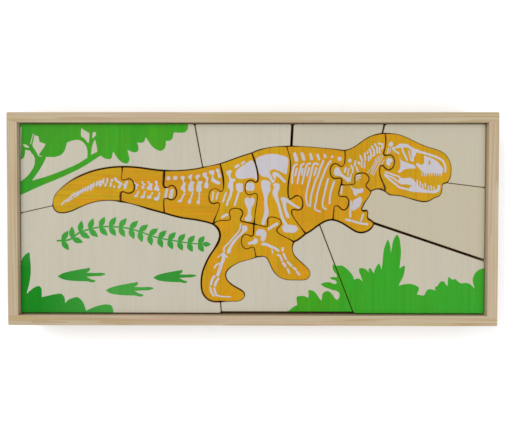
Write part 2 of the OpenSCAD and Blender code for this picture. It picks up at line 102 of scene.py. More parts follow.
def smooth_line(points, closed=False, step=0.6):
    """A smooth line through the points, as an array of points about step apart."""
    p = np.array(points, float)
    count = len(p)
    if count == 2:
        return p
    before = np.roll(p, 1, 0) if closed else np.vstack([2 * p[0] - p[1], p[:-1]])
    after = np.roll(p, -1, 0) if closed else np.vstack([p[1:], 2 * p[-1] - p[-2]])
    back = np.linalg.norm(p - before, axis=1)[:, None]
    ahead = np.linalg.norm(after - p, axis=1)[:, None]
    slope = ((p - before) / back * ahead + (after - p) / ahead * back) / (back + ahead)
    made = []
    for i in range(count if closed else count - 1):
        j = (i + 1) % count
        length = np.linalg.norm(p[j] - p[i])
        t = np.linspace(0, 1, max(2, round(length / step)) + 1)[:-1, None]
        made.append(
            (2 * t**3 - 3 * t**2 + 1) * p[i] + (t**3 - 2 * t**2 + t) * length * slope[i]
            + (3 * t**2 - 2 * t**3) * p[j] + (t**3 - t**2) * length * slope[j]
        )
    return np.vstack(made if closed else made + [p[-1:]])


def blob(*points):
    """A closed shape with a smooth outline through the points."""
    return smooth_line(points, closed=True)


def lobes(start, *runs):
    """A closed outline of smooth runs that meet at sharp points: each run starts where the last one ended."""
    made = []
    for run in runs:
        line = smooth_line([start, *run])
        made.append(line[:-1])
        start = run[-1]
    return np.vstack(made + [[start]])


def stroke(width, *points, end=None):
    """A round-ended stroke along a smooth line, from width at its start to end at its other end."""
    line = smooth_line(points, step=0.8)
    along = np.gradient(line, axis=0)
    along /= np.linalg.norm(along, axis=1)[:, None]
    across = np.stack([-along[:, 1], along[:, 0]], 1)
    half = np.linspace(width, end or width, len(line))[:, None] / 2
    turn = np.radians([60, 30, 0, -30, -60])[:, None]
    cap_end = line[-1] + half[-1] * (np.cos(turn) * along[-1] + np.sin(turn) * across[-1])
    cap_start = line[0] - half[0] * (np.cos(turn) * along[0] + np.sin(turn) * across[0])
    return np.vstack([line + across * half, cap_end, (line - across * half)[::-1], cap_start])


def dot(x, y, size):
    """A round spot."""
    turn = np.radians(np.arange(0, 360, 30))
    return np.stack([x + size / 2 * np.cos(turn), y + size / 2 * np.sin(turn)], 1)


def leaf(base, heading, length, width):
    """A pointed leaf that grows from base in the direction heading, in radians."""
    t = np.linspace(0, 1, 9)
    side = width / 2 * np.sin(np.pi * t**0.85)
    local = np.vstack([np.stack([length * t, side], 1), np.stack([length * t, -side], 1)[-2:0:-1]])
    c, s = math.cos(heading), math.sin(heading)
    return np.array(base) + local @ np.array([[c, s], [-s, c]])


def bones(*rows):
    """Shapes from rows of points: a blob, a stroke where widths come first, or a dot at a lone point."""
    made = []
    for row in rows:
        widths = [value for value in row if not isinstance(value, tuple)]
        points = row[len(widths):]
        if not widths:
            made.append(blob(*points))
        elif len(points) == 1:
            made.append(dot(*points[0], widths[0]))
        else:
            made.append(stroke(widths[0], *points, end=widths[-1]))
    return made


def ink(*shapes):
    """Marks the shapes as printed."""
    return [(True, shape) for shape in shapes]


def clear(*shapes):
    """Marks the shapes as left clear of what is printed before them."""
    return [(False, shape) for shape in shapes]


# ---------------------------------------------------------------- the green print

def tree():
    """A canopy that hangs in lobes from the top edge, with sky in its gaps, over two leaning boughs."""
    canopy = lobes(
        (-45.2, 75),
        [(-45.2, 70), (-45, 66.5), (-45.3, 63.8), (-47, 62), (-50, 61.6), (-55, 61.8)],
        [(-55.5, 60), (-56, 57.5), (-58, 56), (-60.7, 55.8)],
        [(-60.8, 53), (-62, 50), (-64.5, 48.8), (-67, 49.5), (-70.5, 52), (-73, 55.5), (-75, 58.5)],
        [(-76.5, 55), (-78.5, 54.5), (-81, 54.8)],
        [(-80.2, 51), (-80.6, 48.6), (-82.5, 47.8), (-85, 48.2), (-88, 49.5)],
        [(-87.2, 46), (-86.7, 42), (-88, 40), (-91, 40.3), (-94, 42.5), (-96, 45), (-98, 48.5)],
        [(-98.8, 46), (-99.5, 43.5), (-102, 43), (-105, 44), (-107, 45.5)],
        [(-116.5, 44.2)],
        [(-116.4, 49), (-117, 51.5), (-119, 54.6), (-121.8, 56.4), (-125, 56.6), (-128.3, 55.8),
         (-131, 54.8)],
        [(-131.7, 52), (-133, 48.6), (-135.2, 46.2), (-138.5, 44.9), (-145.5, 44.6)],
        [(-152, 46), (-155.5, 46.5), (-157.3, 49), (-160.8, 49.6)],
        [(-160.9, 47), (-162, 44), (-164, 43), (-165.5, 44)],
        [(-166.5, 75)],
    )
    gaps = [
        lobes((-155.2, 61.2), [(-153.5, 60), (-151.2, 59.3)], [(-150.9, 57.5), (-150.4, 55.4)],
              [(-148.5, 54.6), (-146, 53.8)], [(-147.8, 50.8), (-149.8, 48), (-151.4, 45.1)],
              [(-153, 48.5), (-155.2, 51.7)], [(-155.7, 53.4), (-157.2, 53.7)],
              [(-156.4, 57), (-155.2, 61.2)]),
        lobes((-162.4, 53.7), [(-159.7, 53.2), (-157.7, 51.4)], [(-159, 51), (-161, 51.6), (-162.4, 53.7)]),
        lobes((-120.7, 65), [(-117.5, 62.8), (-114.9, 61.3)], [(-114.9, 58), (-115.3, 54.8), (-116.2, 54.3)],
              [(-118, 57), (-121, 59.3)], [(-121, 62), (-120.7, 65)]),
        lobes((-112.6, 62.1), [(-110.3, 62.1)], [(-110.4, 59.6)], [(-111.6, 58.6), (-113, 57.2)],
              [(-112.9, 59.5), (-112.6, 62.1)]),
        lobes((-111.1, 57.2), [(-110, 53), (-109.3, 48.3)], [(-111.5, 47.2), (-113.9, 46)],
              [(-113.4, 50.5), (-112.5, 54), (-111.1, 57.2)]),
        lobes((-163.2, 66), [(-163.5, 58), (-163.6, 50), (-164, 43)], [(-166, 43)], [(-166, 66)]),
    ]
    boughs = [
        lobes((-165.5, 17), [(-150, 24), (-135, 30.2), (-120, 37.4), (-107, 45.6)], [(-108, 48)],
              [(-116.5, 44), (-122, 40.5), (-133, 35.5), (-145, 31), (-156, 27.8)],
              [(-150, 36.5), (-146.5, 43), (-145.5, 46)],
              [(-151.3, 45.3), (-153, 47.5)],
              [(-153.8, 43), (-154, 40), (-158, 32.5), (-165.5, 26)]),
        stroke(1.8, (-115.3, 43), (-114.5, 55), (-113.5, 64), end=1.5),
        stroke(1.3, (-115.2, 52.5), (-118.3, 56), (-121.8, 58.6)),
        stroke(1.1, (-114, 55.5), (-111.8, 57.8), (-109.6, 59.2)),
        stroke(1.9, (-153, 44), (-155, 48), (-156.8, 51.3), end=1.3),
        stroke(0.9, (-156.6, 51), (-155.7, 55), (-154.5, 60)),
        stroke(1.2, (-156.2, 50.4), (-159.5, 50.6), (-163, 52)),
    ]
    return ink(canopy) + clear(*gaps) + ink(*boughs)


def corner_bush():
    """Rounded shrub along the left and front edges."""
    return lobes(
        (-168, -30),
        [(-164.7, -30), (-162.5, -26.5), (-160, -24), (-158.5, -23.3), (-157.8, -27), (-157.3, -33),
         (-157.5, -40), (-158.5, -46), (-160, -51.5), (-160.3, -53)],
        [(-157, -50), (-154, -48), (-151.5, -47.3), (-150, -48.5), (-149.5, -52), (-149.5, -55.3)],
        [(-145, -54.3), (-140, -53.2), (-135, -53.2), (-133.5, -55), (-132.8, -59.5)],
        [(-130, -57), (-127, -55.8), (-124, -55.3), (-121.5, -57), (-119.5, -60), (-117.8, -65)],
        [(-113, -62.8), (-108, -61.2), (-103, -60.5), (-99.5, -61.5), (-98.5, -64), (-98.5, -70)],
        [(-168, -70)],
    )


def footprint(x, y, size=1.0):
    """A three-toed print that points along +X, with its heel at (x, y)."""
    toes = lobes(
        (0, 0),
        [(3, 1.8), (8, 3.3), (14, 4.5), (20, 5.5), (23.2, 5.8), (22.7, 4), (20.5, 2.5)],
        [(26, 2.3), (32, 2.3), (34.3, 1.6), (32, 0.5), (26, 0), (20.5, -0.4)],
        [(24, -2.2), (27, -3.5), (26, -4.2), (21, -3.7), (14, -3.5), (8, -3), (3, -1.9), (0, 0)],
    )
    return np.array([x, y]) + size * toes


def sprig():
    """An arched stem with pairs of leaves, over the footprints."""
    stem = [
        (-138, -15), (-129, -14), (-123, -9.5), (-114, -6.5), (-105, -5), (-95, -5.2), (-86, -6.5),
        (-78, -9), (-69.5, -12), (-61, -14), (-52, -15.5), (-42, -17), (-33.5, -17.5),
    ]
    pairs, splay, width = 15, math.radians(55), 4.1
    line = smooth_line(stem, step=0.5)
    travelled = np.concatenate([[0], np.cumsum(np.linalg.norm(np.diff(line, axis=0), axis=1))])
    shapes = [stroke(1.3, *stem, end=0.9)]
    for k in range(pairs):
        at = (0.4 + k) / pairs * travelled[-1]
        i = min(np.searchsorted(travelled, at), len(line) - 2)
        heading = math.atan2(*(line[i + 1] - line[i - 1])[::-1])
        length = 8.6 - 1.8 * (k / pairs) ** 2
        shapes += [leaf(line[i], heading + side * splay, length, width) for side in (1, -1)]
    shapes.append(leaf(line[-4], heading, 6.5, 3.6))
    return shapes


def front_bush():
    """Low shrub on the ground piece, beside the saw cut."""
    return lobes(
        (22, -70),
        [(24, -66), (27, -65), (30, -62.5), (33, -61)],
        [(33, -55), (36, -54.5), (39, -55), (40.5, -56)],
        [(41, -54.5), (41, -50.5), (44, -50.8), (46.5, -53), (48.5, -56), (50, -58)],
        [(50.5, -56), (51, -53), (53, -51.3), (55, -51.2), (57.5, -53), (60, -56.5), (61.5, -57.5)],
        [(63, -55), (62.8, -52.5), (61, -51), (58, -50.3), (56, -49.5), (52, -48), (49.8, -46),
         (52, -45), (56, -44.8), (60, -46), (61, -45), (60, -43.5), (57, -42.5), (56, -41.3)],
        [(58.5, -41), (61, -41), (61, -40), (59, -37), (58, -34), (58.3, -32), (59.5, -32.5)],
        [(64, -32)], [(84, -70)],
    )


def right_bush():
    """Tall and low shrub that fills the front right corner."""
    return lobes(
        (59.5, -33),
        [(61.5, -33), (64, -32.8), (67, -34.3), (70, -37), (72.5, -40.5), (73.3, -43)],
        [(75, -42.3), (77, -42.3), (79.5, -44.5)],
        [(78, -40), (76.8, -36.5), (77, -35), (79, -34.7), (82, -35.8), (83.8, -38)],
        [(83.5, -36), (84.5, -34.5), (86, -36.5), (87.3, -38.5)],
        [(88, -36), (89.5, -33), (90.8, -31.5), (92, -33.5), (92.8, -36)],
        [(93.5, -30), (94.5, -21), (96, -16.5), (97, -14.5), (98.3, -17), (99, -21), (99.2, -24.5)],
        [(100, -20), (101, -15), (102.5, -12), (103.5, -11), (105, -13), (106, -18), (106.5, -24),
         (106, -30), (105.5, -35)],
        [(107, -34), (109, -33), (109, -37), (108, -41), (106, -45), (105, -47.3)],
        [(108, -46.5), (113, -46), (117, -47), (119.5, -49), (119, -51), (118, -53.5)],
        [(123.5, -53.8), (124.5, -51.5), (126, -50), (129, -50), (131.3, -50.8)],
        [(130.8, -48.5), (132.5, -47.5), (133.5, -46), (135, -44.3), (137, -44.3), (139, -47),
         (139.8, -47.5)],
        [(140, -44), (140.5, -41), (142, -42.3), (143.5, -43), (145, -42.5), (147, -44.3)],
        [(149, -45.5), (153, -45.3), (156, -46.5), (158, -48.3), (159, -49.5)],
        [(158, -46), (157.5, -43), (158.3, -40), (160, -37.5), (163, -35.5), (164.7, -35), (168, -34)],
        [(168, -70)], [(70, -70)],
    )


def green_prints():
    """The green drawing on each surrounding piece that has one."""
    steps = [footprint(-138, -40.3), footprint(-103.7, -50.5), footprint(-69.7, -41.3, 0.9)]
    return {
        "tree_piece": tree(),
        "footprint_piece": ink(corner_bush(), *steps, *sprig()),
        "ground_piece": ink(front_bush()),
        "bush_piece": ink(right_bush()),
    }


# ---------------------------------------------------------------- the skeleton

def tail_tip_bones():
    """Slanted ticks that grow from a faint speck at the tip into spined blocks."""
    ribbon = [
        (-134.6, 11.2), (-133.3, 12.6), (-132, 13.4), (-130.6, 14.2), (-129.2, 15.4), (-127.8, 16.8),
        (-126.3, 17.9), (-124.7, 18.4), (-123.1, 19), (-121.5, 19.9), (-119.8, 20.8), (-118, 21.8),
        (-116, 22.6), (-114, 23.5), (-112.1, 24.5), (-109.6, 25.6), (-107.6, 26.3),
    ]
    shapes = []
    for k, (x, y) in enumerate(ribbon):
        reach = 0.5 + 0.05 * k
        shapes.append(stroke(1 + 0.03 * k, (x + 0.25 * reach, y + reach), (x - 0.35 * reach, y - reach)))
    shapes.append(stroke(0.8, *ribbon[:12], end=0.6))
    shapes += [stroke(0.9, (x + 0.5, y + 0.3), (x - 0.5, y - 0.3)) for x, y in
               [(-129.7, 13.4), (-127.7, 14.8), (-125.2, 16.4), (-123.2, 17.4), (-116.5, 20.8),
                (-113.9, 21.5)]]
    shapes += bones(
        [1.7, (-106, 27), (-105.2, 26.4)], [1.1, (-105.4, 27), (-104.8, 28.9)],
        [1.3, (-102.2, 29), (-102.5, 26.8)], [2, (-99, 27.9)], [1.8, (-97.4, 23.5)],
        [1.6, (-96.8, 29.3), (-95.6, 27.6), (-93.7, 26.3)], [1.7, (-92.5, 25.6), (-94.1, 22.9)],
        [1.3, (-106.7, 25.1), (-107.4, 23.9)], [1.3, (-103.3, 25.3), (-103.9, 24)],
        [1.3, (-99.7, 26), (-100.1, 23.8)], [1.8, (-88.4, 26.8), (-89.7, 22.6)],
        [1.2, (-88.9, 25.2), (-90.8, 24.5)],
    )
    return shapes


def tail_middle_bones():
    """Four vertebrae with hooked chevrons below them, and the pair in the tab."""
    vertebrae = bones(
        [(-83.5, 26.8), (-82.2, 26), (-80.3, 25), (-80, 24.2), (-81, 23.4), (-81.2, 21.6), (-82, 21.4),
         (-82.2, 23), (-82, 24.6), (-83.2, 25.8)],
        [(-78, 27.6), (-77, 27.4), (-76.4, 26), (-75, 25.2), (-75.2, 24.6), (-76.2, 24.2), (-75.8, 22.4),
         (-76.8, 21.8), (-78, 22.2), (-77.8, 23.6), (-77, 24.4), (-77.6, 25.8)],
        [(-74, 27.3), (-72.8, 27.2), (-72, 26), (-70.6, 25.6), (-69.8, 25.2), (-70.4, 24.3), (-70.6, 23),
         (-70.4, 21), (-71.4, 20.6), (-72.6, 21.4), (-74, 21.2), (-74.4, 22.4), (-73.4, 23.6), (-72.6, 24.8),
         (-73.2, 26)],
        [(-68.6, 27.3), (-66.8, 27.4), (-66.4, 26), (-66.6, 24.6), (-65.8, 23), (-65.2, 20.8), (-66, 19.9),
         (-67.4, 20.8), (-68.8, 21), (-69, 22.4), (-68, 24), (-67.8, 25.2), (-68.4, 26.2)],
    )
    chevrons = bones(
        [(-80.5, 20.4), (-79.4, 20.2), (-79.8, 19), (-80.6, 18), (-80.6, 16.6), (-81.8, 15.8), (-83.3, 16.4),
         (-83.2, 17.4), (-82, 18), (-81.2, 19)],
        [(-75.9, 20.3), (-74.8, 20), (-75.6, 18.6), (-75.6, 16.6), (-76.4, 15.4), (-78, 15.2), (-79, 16),
         (-78, 16.8), (-76.9, 17.4), (-76.6, 18.8)],
        [(-70.8, 19.6), (-69.6, 19.4), (-70, 18.2), (-70.9, 17.2), (-70.9, 15.8), (-72, 14.9), (-73.8, 15.2),
         (-74.3, 16.2), (-73, 17), (-71.8, 17.2), (-71, 18.2)],
        [(-65.4, 19.6), (-64.6, 18.8), (-65.2, 17), (-65.2, 15), (-66, 13.8), (-68.4, 13.7), (-69.3, 14.8),
         (-68.6, 15.8), (-67, 16.2), (-66.2, 17.4)],
    )
    in_tab = bones(
        [1.9, (-60, 21.4), (-61, 16)], [2.6, (-56.3, 20.6), (-57.2, 16.2)],
        [(-59.8, 30.6), (-57.9, 30.6), (-57.8, 28.1), (-59.7, 28)],
        [(-55.3, 30.7), (-52.8, 30.7), (-52.7, 28.4), (-55.2, 28.3)],
    )
    return vertebrae + chevrons + in_tab


def tail_base_bones():
    """Six tall vertebrae that lean towards the hips, with long chevrons below them."""
    return bones(
        [(-50, 30.6), (-48.6, 31), (-47.4, 30.6), (-47.4, 29.2), (-48, 27.8), (-47.8, 26.6), (-46.7, 26.2),
         (-46.6, 25), (-47.2, 23.6), (-46.8, 21.6), (-47, 19.4), (-48, 19.2), (-48.8, 21), (-50, 21.4),
         (-50, 23), (-49, 24.4), (-48.4, 26), (-49, 27.6), (-50, 29)],
        [(-44.8, 30.8), (-43.4, 31.6), (-42.4, 32.4), (-41.9, 31.4), (-42.4, 29.6), (-42.4, 27.6),
         (-41.4, 27), (-40.2, 26.6), (-40.6, 25.4), (-41.2, 23.6), (-40.8, 21), (-41.6, 19.8), (-43, 19.8),
         (-44.6, 20.6), (-44.8, 23), (-44.2, 25.2), (-43.2, 26.6), (-43.4, 28.4), (-44.6, 29.6)],
        [(-39.6, 31), (-38, 31.8), (-36.6, 31.8), (-36.4, 30.6), (-37.6, 29.6), (-37.8, 28), (-37, 27.2),
         (-35.2, 27.4), (-34.6, 26.4), (-35.6, 24.8), (-35.2, 22), (-35.6, 19.9), (-37, 19.7), (-38.8, 20),
         (-39.2, 22.4), (-38.6, 24.8), (-37.9, 26.4), (-38.6, 28.4), (-39.6, 29.6)],
        [(-34.6, 32.6), (-33, 33.4), (-31.6, 33.2), (-31.8, 31.4), (-30.9, 30), (-30.4, 28.6), (-31, 27),
         (-30.4, 24.6), (-30.8, 22.4), (-32.4, 22), (-33.4, 23), (-33.2, 25), (-32.4, 27), (-32.2, 28.8),
         (-33.4, 29.8), (-34.4, 31)],
        [(-30.2, 34), (-28.4, 34.8), (-26.4, 34.6), (-26.2, 33), (-27, 31.4), (-26.6, 29.4), (-25, 28.2),
         (-23.4, 27.2), (-21.9, 26.4), (-22.2, 25.2), (-23.6, 24.8), (-25.4, 25.6), (-27.4, 26.6),
         (-28.6, 27.4), (-28.2, 29.4), (-28, 31.4), (-29.6, 32.6)],
        [(-25.2, 35.6), (-23.8, 36.2), (-22.8, 35.2), (-22.4, 33), (-21.6, 31.4), (-21.8, 29.6), (-23, 29.4),
         (-23.8, 31), (-24, 33), (-25, 34.4)],
        [1.2, (-47.4, 18.4), (-49.4, 15)],
        [(-49.6, 15), (-49, 13.8), (-50.4, 12.2), (-52, 12.4), (-52.2, 13.4), (-51, 14)],
        [1.2, (-41.6, 19.4), (-42.8, 15)],
        [(-43, 15), (-42.6, 13.4), (-43, 11.6), (-44.4, 11.2), (-45.2, 12.6), (-44.6, 13.8)],
        [1.1, (-36.8, 19.4), (-37, 15), (-37.1, 11.4)],
        [(-37.4, 14.6), (-37.2, 11.2), (-38.6, 11.2), (-38.9, 12.6), (-38.2, 13.6)],
        [1.2, (-27, 19.2), (-27.8, 13.9)], [1.2, (-23.6, 19), (-24.8, 14.6)],
    )


def hip_bones():
    """The hip blade over two pieces, the last vertebrae in front of the tail and the two thigh bones."""
    pelvis = bones(
        [1.9, (-11.1, 37.2), (-9.2, 38.4)], [1.4, (-6.9, 39.6), (-5.1, 40.8)],
        [(-17.8, 34), (-16.4, 34.8), (-14.4, 35), (-13.8, 34), (-14.6, 32.4), (-14.6, 30), (-13.6, 29),
         (-11.6, 28.8), (-11.2, 27.8), (-12.6, 26.6), (-12.9, 24), (-12.8, 21.6), (-13.4, 19), (-14.4, 15.6),
         (-16.2, 12), (-16.8, 9.8), (-18, 9.8), (-17.6, 12), (-16.4, 15), (-15.4, 18.4), (-15.2, 21),
         (-16.4, 22.4), (-16.4, 25), (-15.8, 27.4), (-16, 30), (-17, 32)],
        [1.3, (-18, 18.9), (-20, 12.7)],
        [(-10.6, 25.2), (-8.4, 25.8), (-6.3, 25.2), (-6, 22.4), (-6.3, 19.8), (-8.2, 19.3), (-9.8, 20.2),
         (-10.8, 22.6)],
        [1.4, (-8.8, 19.6), (-10.4, 14.8), (-11.8, 10.2)], [1.9, (-20.5, 1.8), (-18.6, 2.9), (-17.2, 3.5)],
        [(-11.3, 31.6), (-10.8, 34.3), (-8.5, 36.5), (-5.1, 39), (-2.3, 40.8), (0.4, 41.9), (1.7, 40.4),
         (3, 36.4), (4, 31.6), (4, 28), (3.2, 28), (2, 29.2), (-2, 29.3), (-7, 28.8), (-9.8, 29.3),
         (-11, 30.3)],
        [(-3.5, 25.5), (1.8, 25.5), (1.8, 21), (-3.5, 21)],
        [(-4.7, 13), (-4.1, 15.3), (-2.5, 15.7), (-1, 14.8), (0.6, 15.7), (2, 15), (2.4, 13), (1.6, 10.5),
         (0.4, 8.5), (0, 6), (0, 3.5), (0.5, 1.5), (0, -0.8), (-2, -1.4), (-4.2, -0.7), (-4.7, 0.6),
         (-3.2, 2.4), (-2.5, 5), (-2.6, 7.5), (-3.8, 10)],
    )
    blade = blob(
        (3.5, 43), (9, 45.7), (15, 46.5), (21, 45.5), (26, 43.2), (26.2, 40), (25.6, 36), (24.9, 32.2),
        (21, 32.6), (18, 31), (17.3, 29), (15.5, 25.8), (12, 29.5), (7, 31), (5, 34), (4, 38))
    hollow = blob(
        (13.1, 33.2), (13.8, 34.9), (15.6, 35.6), (18, 35), (21, 33.6), (23.6, 32.3), (25.6, 31.4),
        (24.4, 30.8), (22.4, 31.4), (19.6, 32.7), (17.4, 33.5), (15.5, 33.5), (14.9, 32.2), (15.4, 30.3),
        (16.6, 28.4), (15.9, 28), (14.5, 30), (13.7, 31.8))
    thigh = bones(
        [1.9, (18.3, 32), (21, 29.7), (23.6, 26.9)],
        [(7.2, 27.5), (9.5, 28), (12, 27.4), (13.6, 26), (13.3, 23.4), (13.6, 21), (12.4, 18.6), (11.7, 16),
         (11.6, 11), (12.2, 7), (12.5, 4.5), (11.4, 1.5), (10.2, -1.5), (9.6, -3.5), (8.2, -3.9), (7.2, -3),
         (7.8, -0.5), (8.8, 3), (9.4, 6.5), (9.2, 10), (9.1, 15), (8.2, 19), (7.2, 22), (6.9, 25)],
        [(15.4, 25), (17.8, 25.8), (20.1, 24.6), (19.9, 21.5), (18.8, 18.5), (19.4, 14.5), (20.4, 10.5),
         (21.6, 6), (22.9, 2), (24.4, -1.5), (25.7, -3.4), (24, -3.9), (22.2, -1.8), (20.9, 1.5), (19.6, 6),
         (18.4, 10.5), (16.6, 14.5), (15.1, 18), (15.3, 20.5), (16.2, 22.6)],
        [(21, 15.5), (23.5, 15.7), (25, 14.5), (24.8, 11), (25.2, 7), (26.7, 3.5), (27.3, 1.2), (25.8, 0.9),
         (24.3, 3.2), (23, 7.5), (22, 11.5)],
        [2.4, 1.4, (23.6, 14.5), (27, 12.3), (31, 9.7), (33.9, 8.3)],
        [(22.3, -4.6), (24.5, -3.6), (28, -3.9), (32, -4.8), (33.2, -7), (31.5, -9), (27, -9.4),
         (23.5, -8.9), (22.2, -7)],
    )
    return ink(*pelvis, blade) + clear(hollow) + ink(*thigh)


def chest_bones():
    """Short spines over a cage of ribs that lean forward and curve under."""
    shapes = bones(
        [2.3, 2.7, (30.6, 46.4), (32, 42.1)], [2.2, 2.4, (35.9, 46.5), (37.2, 42.6)],
        [1.9, 2, (41.8, 46.2), (42.7, 42.8)], [1.8, (46.9, 45.6), (47.9, 42.6)],
        [1.8, (52, 45.6), (52.4, 44.2)], [1.9, (57.2, 44.3)],
        [(61.2, 44), (63.6, 44), (64, 42), (62.5, 41.2), (61.2, 42)],
    )
    ribs = [
        [(32.1, 39), (30.8, 38.5), (30.1, 37), (29.6, 34.8), (29.2, 31), (29, 25.7)],
        [(32.2, 35.9), (31.1, 31)],
        [(37.1, 39.6), (35.6, 38.5), (34.9, 35.9), (33.8, 32.1), (33.2, 28.7), (32.7, 25.7)],
        [(36.4, 35.6), (35.7, 31.4)],
        [(41.6, 39.7), (39.7, 38.9), (38.7, 36.7), (37.8, 33.3), (36.8, 28.7), (36, 25.4)],
        [(41.1, 36.4), (39.4, 31)],
        [(47.1, 39), (45.2, 39.8), (43.9, 38.6), (43.1, 35.9), (42.2, 31.7), (41, 27.2), (39.9, 22.6),
         (39.1, 18.8), (38.9, 14.6), (39.5, 12), (40.3, 9.7)],
        [(46.1, 36.3), (44.6, 31.4)],
        [(50.9, 41.3), (49.8, 38.6), (48.4, 35.2), (47.3, 31.4), (45.4, 27.2), (44.2, 23.4), (43.1, 19.6),
         (42.3, 15.8), (42, 12), (41.8, 9.3)],
        [(56.1, 41.3), (54.1, 38.6), (52.6, 35.5), (51.1, 31.7), (49.6, 27.9), (48.4, 24.1), (47.3, 20.3),
         (46.5, 16.5), (46, 12.7), (45.2, 8.9), (45.4, 7), (47.3, 6.1), (48.8, 5.5)],
        [(54.4, 28.6), (53.6, 25.7), (52.6, 21.9), (51.7, 17.3), (50.9, 13.5), (50.7, 10.1), (51.3, 8.2),
         (53, 7.4)],
        [(58.7, 26.7), (57.6, 23.4), (56.4, 19.6), (55.8, 15.8), (55.5, 11.2)],
    ]
    return ink(*shapes, *[stroke(1.5, *rib, end=1.25) for rib in ribs])


def neck_bones():
    """The shoulder blade, paired neck vertebrae that climb to the skull, and thin rods below them."""
    shoulder = bones(
        [(58.5, 34), (60.5, 37), (62, 36.5), (63.5, 33.5), (65.5, 31.2), (68, 30), (70.2, 29.4),
         (69.9, 27.3), (69, 26.1), (67.3, 27.2), (65.5, 29.2), (62.5, 30.7), (59, 31.5)],
        [2.7, (69.8, 41.6)],
    )
    vertebrae = bones(
        [1.3, (73.6, 41.2), (73.3, 38)], [1.4, (77.1, 44.8), (77.9, 42.8), (78.4, 41.4)],
        [1.6, (76, 40.3), (76.5, 39.4)], [1.1, (78, 40.2), (78.2, 37)], [1.3, (80.2, 46.6), (80.8, 42)],
        [0.9, (80.3, 40.6), (80, 36.6)], [1.2, (82.3, 47.8), (82, 46.6)], [1, (83, 44.6), (83.2, 41.5)],
        [1.3, (83.6, 49.6), (84.7, 46.6), (84.4, 43)], [1.3, (85.1, 51.6), (86.8, 48.5), (87, 45.5)],
        [1, (87, 45.3), (84.5, 44.6)], [1.3, (87.2, 53.2), (88.8, 50.5), (89, 47)],
        [1.4, (90, 53.7), (92.7, 53)], [1.1, (90.5, 51), (91, 47)], [1.1, (92.2, 49.8), (93, 52)],
    )
    ribs = bones(
        [1.5, (66.8, 36.3), (66.3, 33.6)], [0.9, (69, 36), (68.3, 31.2)], [1.4, (70.9, 38), (71.3, 36.4)],
        [1.1, (72, 36.4), (71.7, 33)], [1.2, (74.4, 37), (75.4, 34.2)], [1, (70.8, 32), (69.8, 27)],
    )
    rods = bones(
        [0.5, (93, 45), (90, 38.5), (86.5, 31)], [0.5, (91.6, 45.5), (88.6, 39), (85.5, 31.8)],
        [0.5, (90, 44.5), (87.4, 38.4), (84.5, 32.4)], [0.5, (88.4, 43.6), (86, 37.6), (82.6, 33.2)],
        [0.5, (94, 42), (91.8, 38.5)],
    )
    hooks = bones(
        [(95.4, 40.6), (96, 42.8), (98, 43.4), (99.8, 42.2), (99.7, 40.6), (98.4, 40), (98.6, 38.4),
         (97.3, 37.8), (96.2, 38.4)],
        [0.9, (74.4, 30.6), (75.6, 31.2), (77.2, 31)], [0.8, (74.3, 29), (76.2, 29.8), (77.4, 29.6)],
        [0.7, (74.6, 27.6), (75.8, 28.2)],
    )
    return ink(*shoulder, *vertebrae, *ribs, *rods, *hooks)


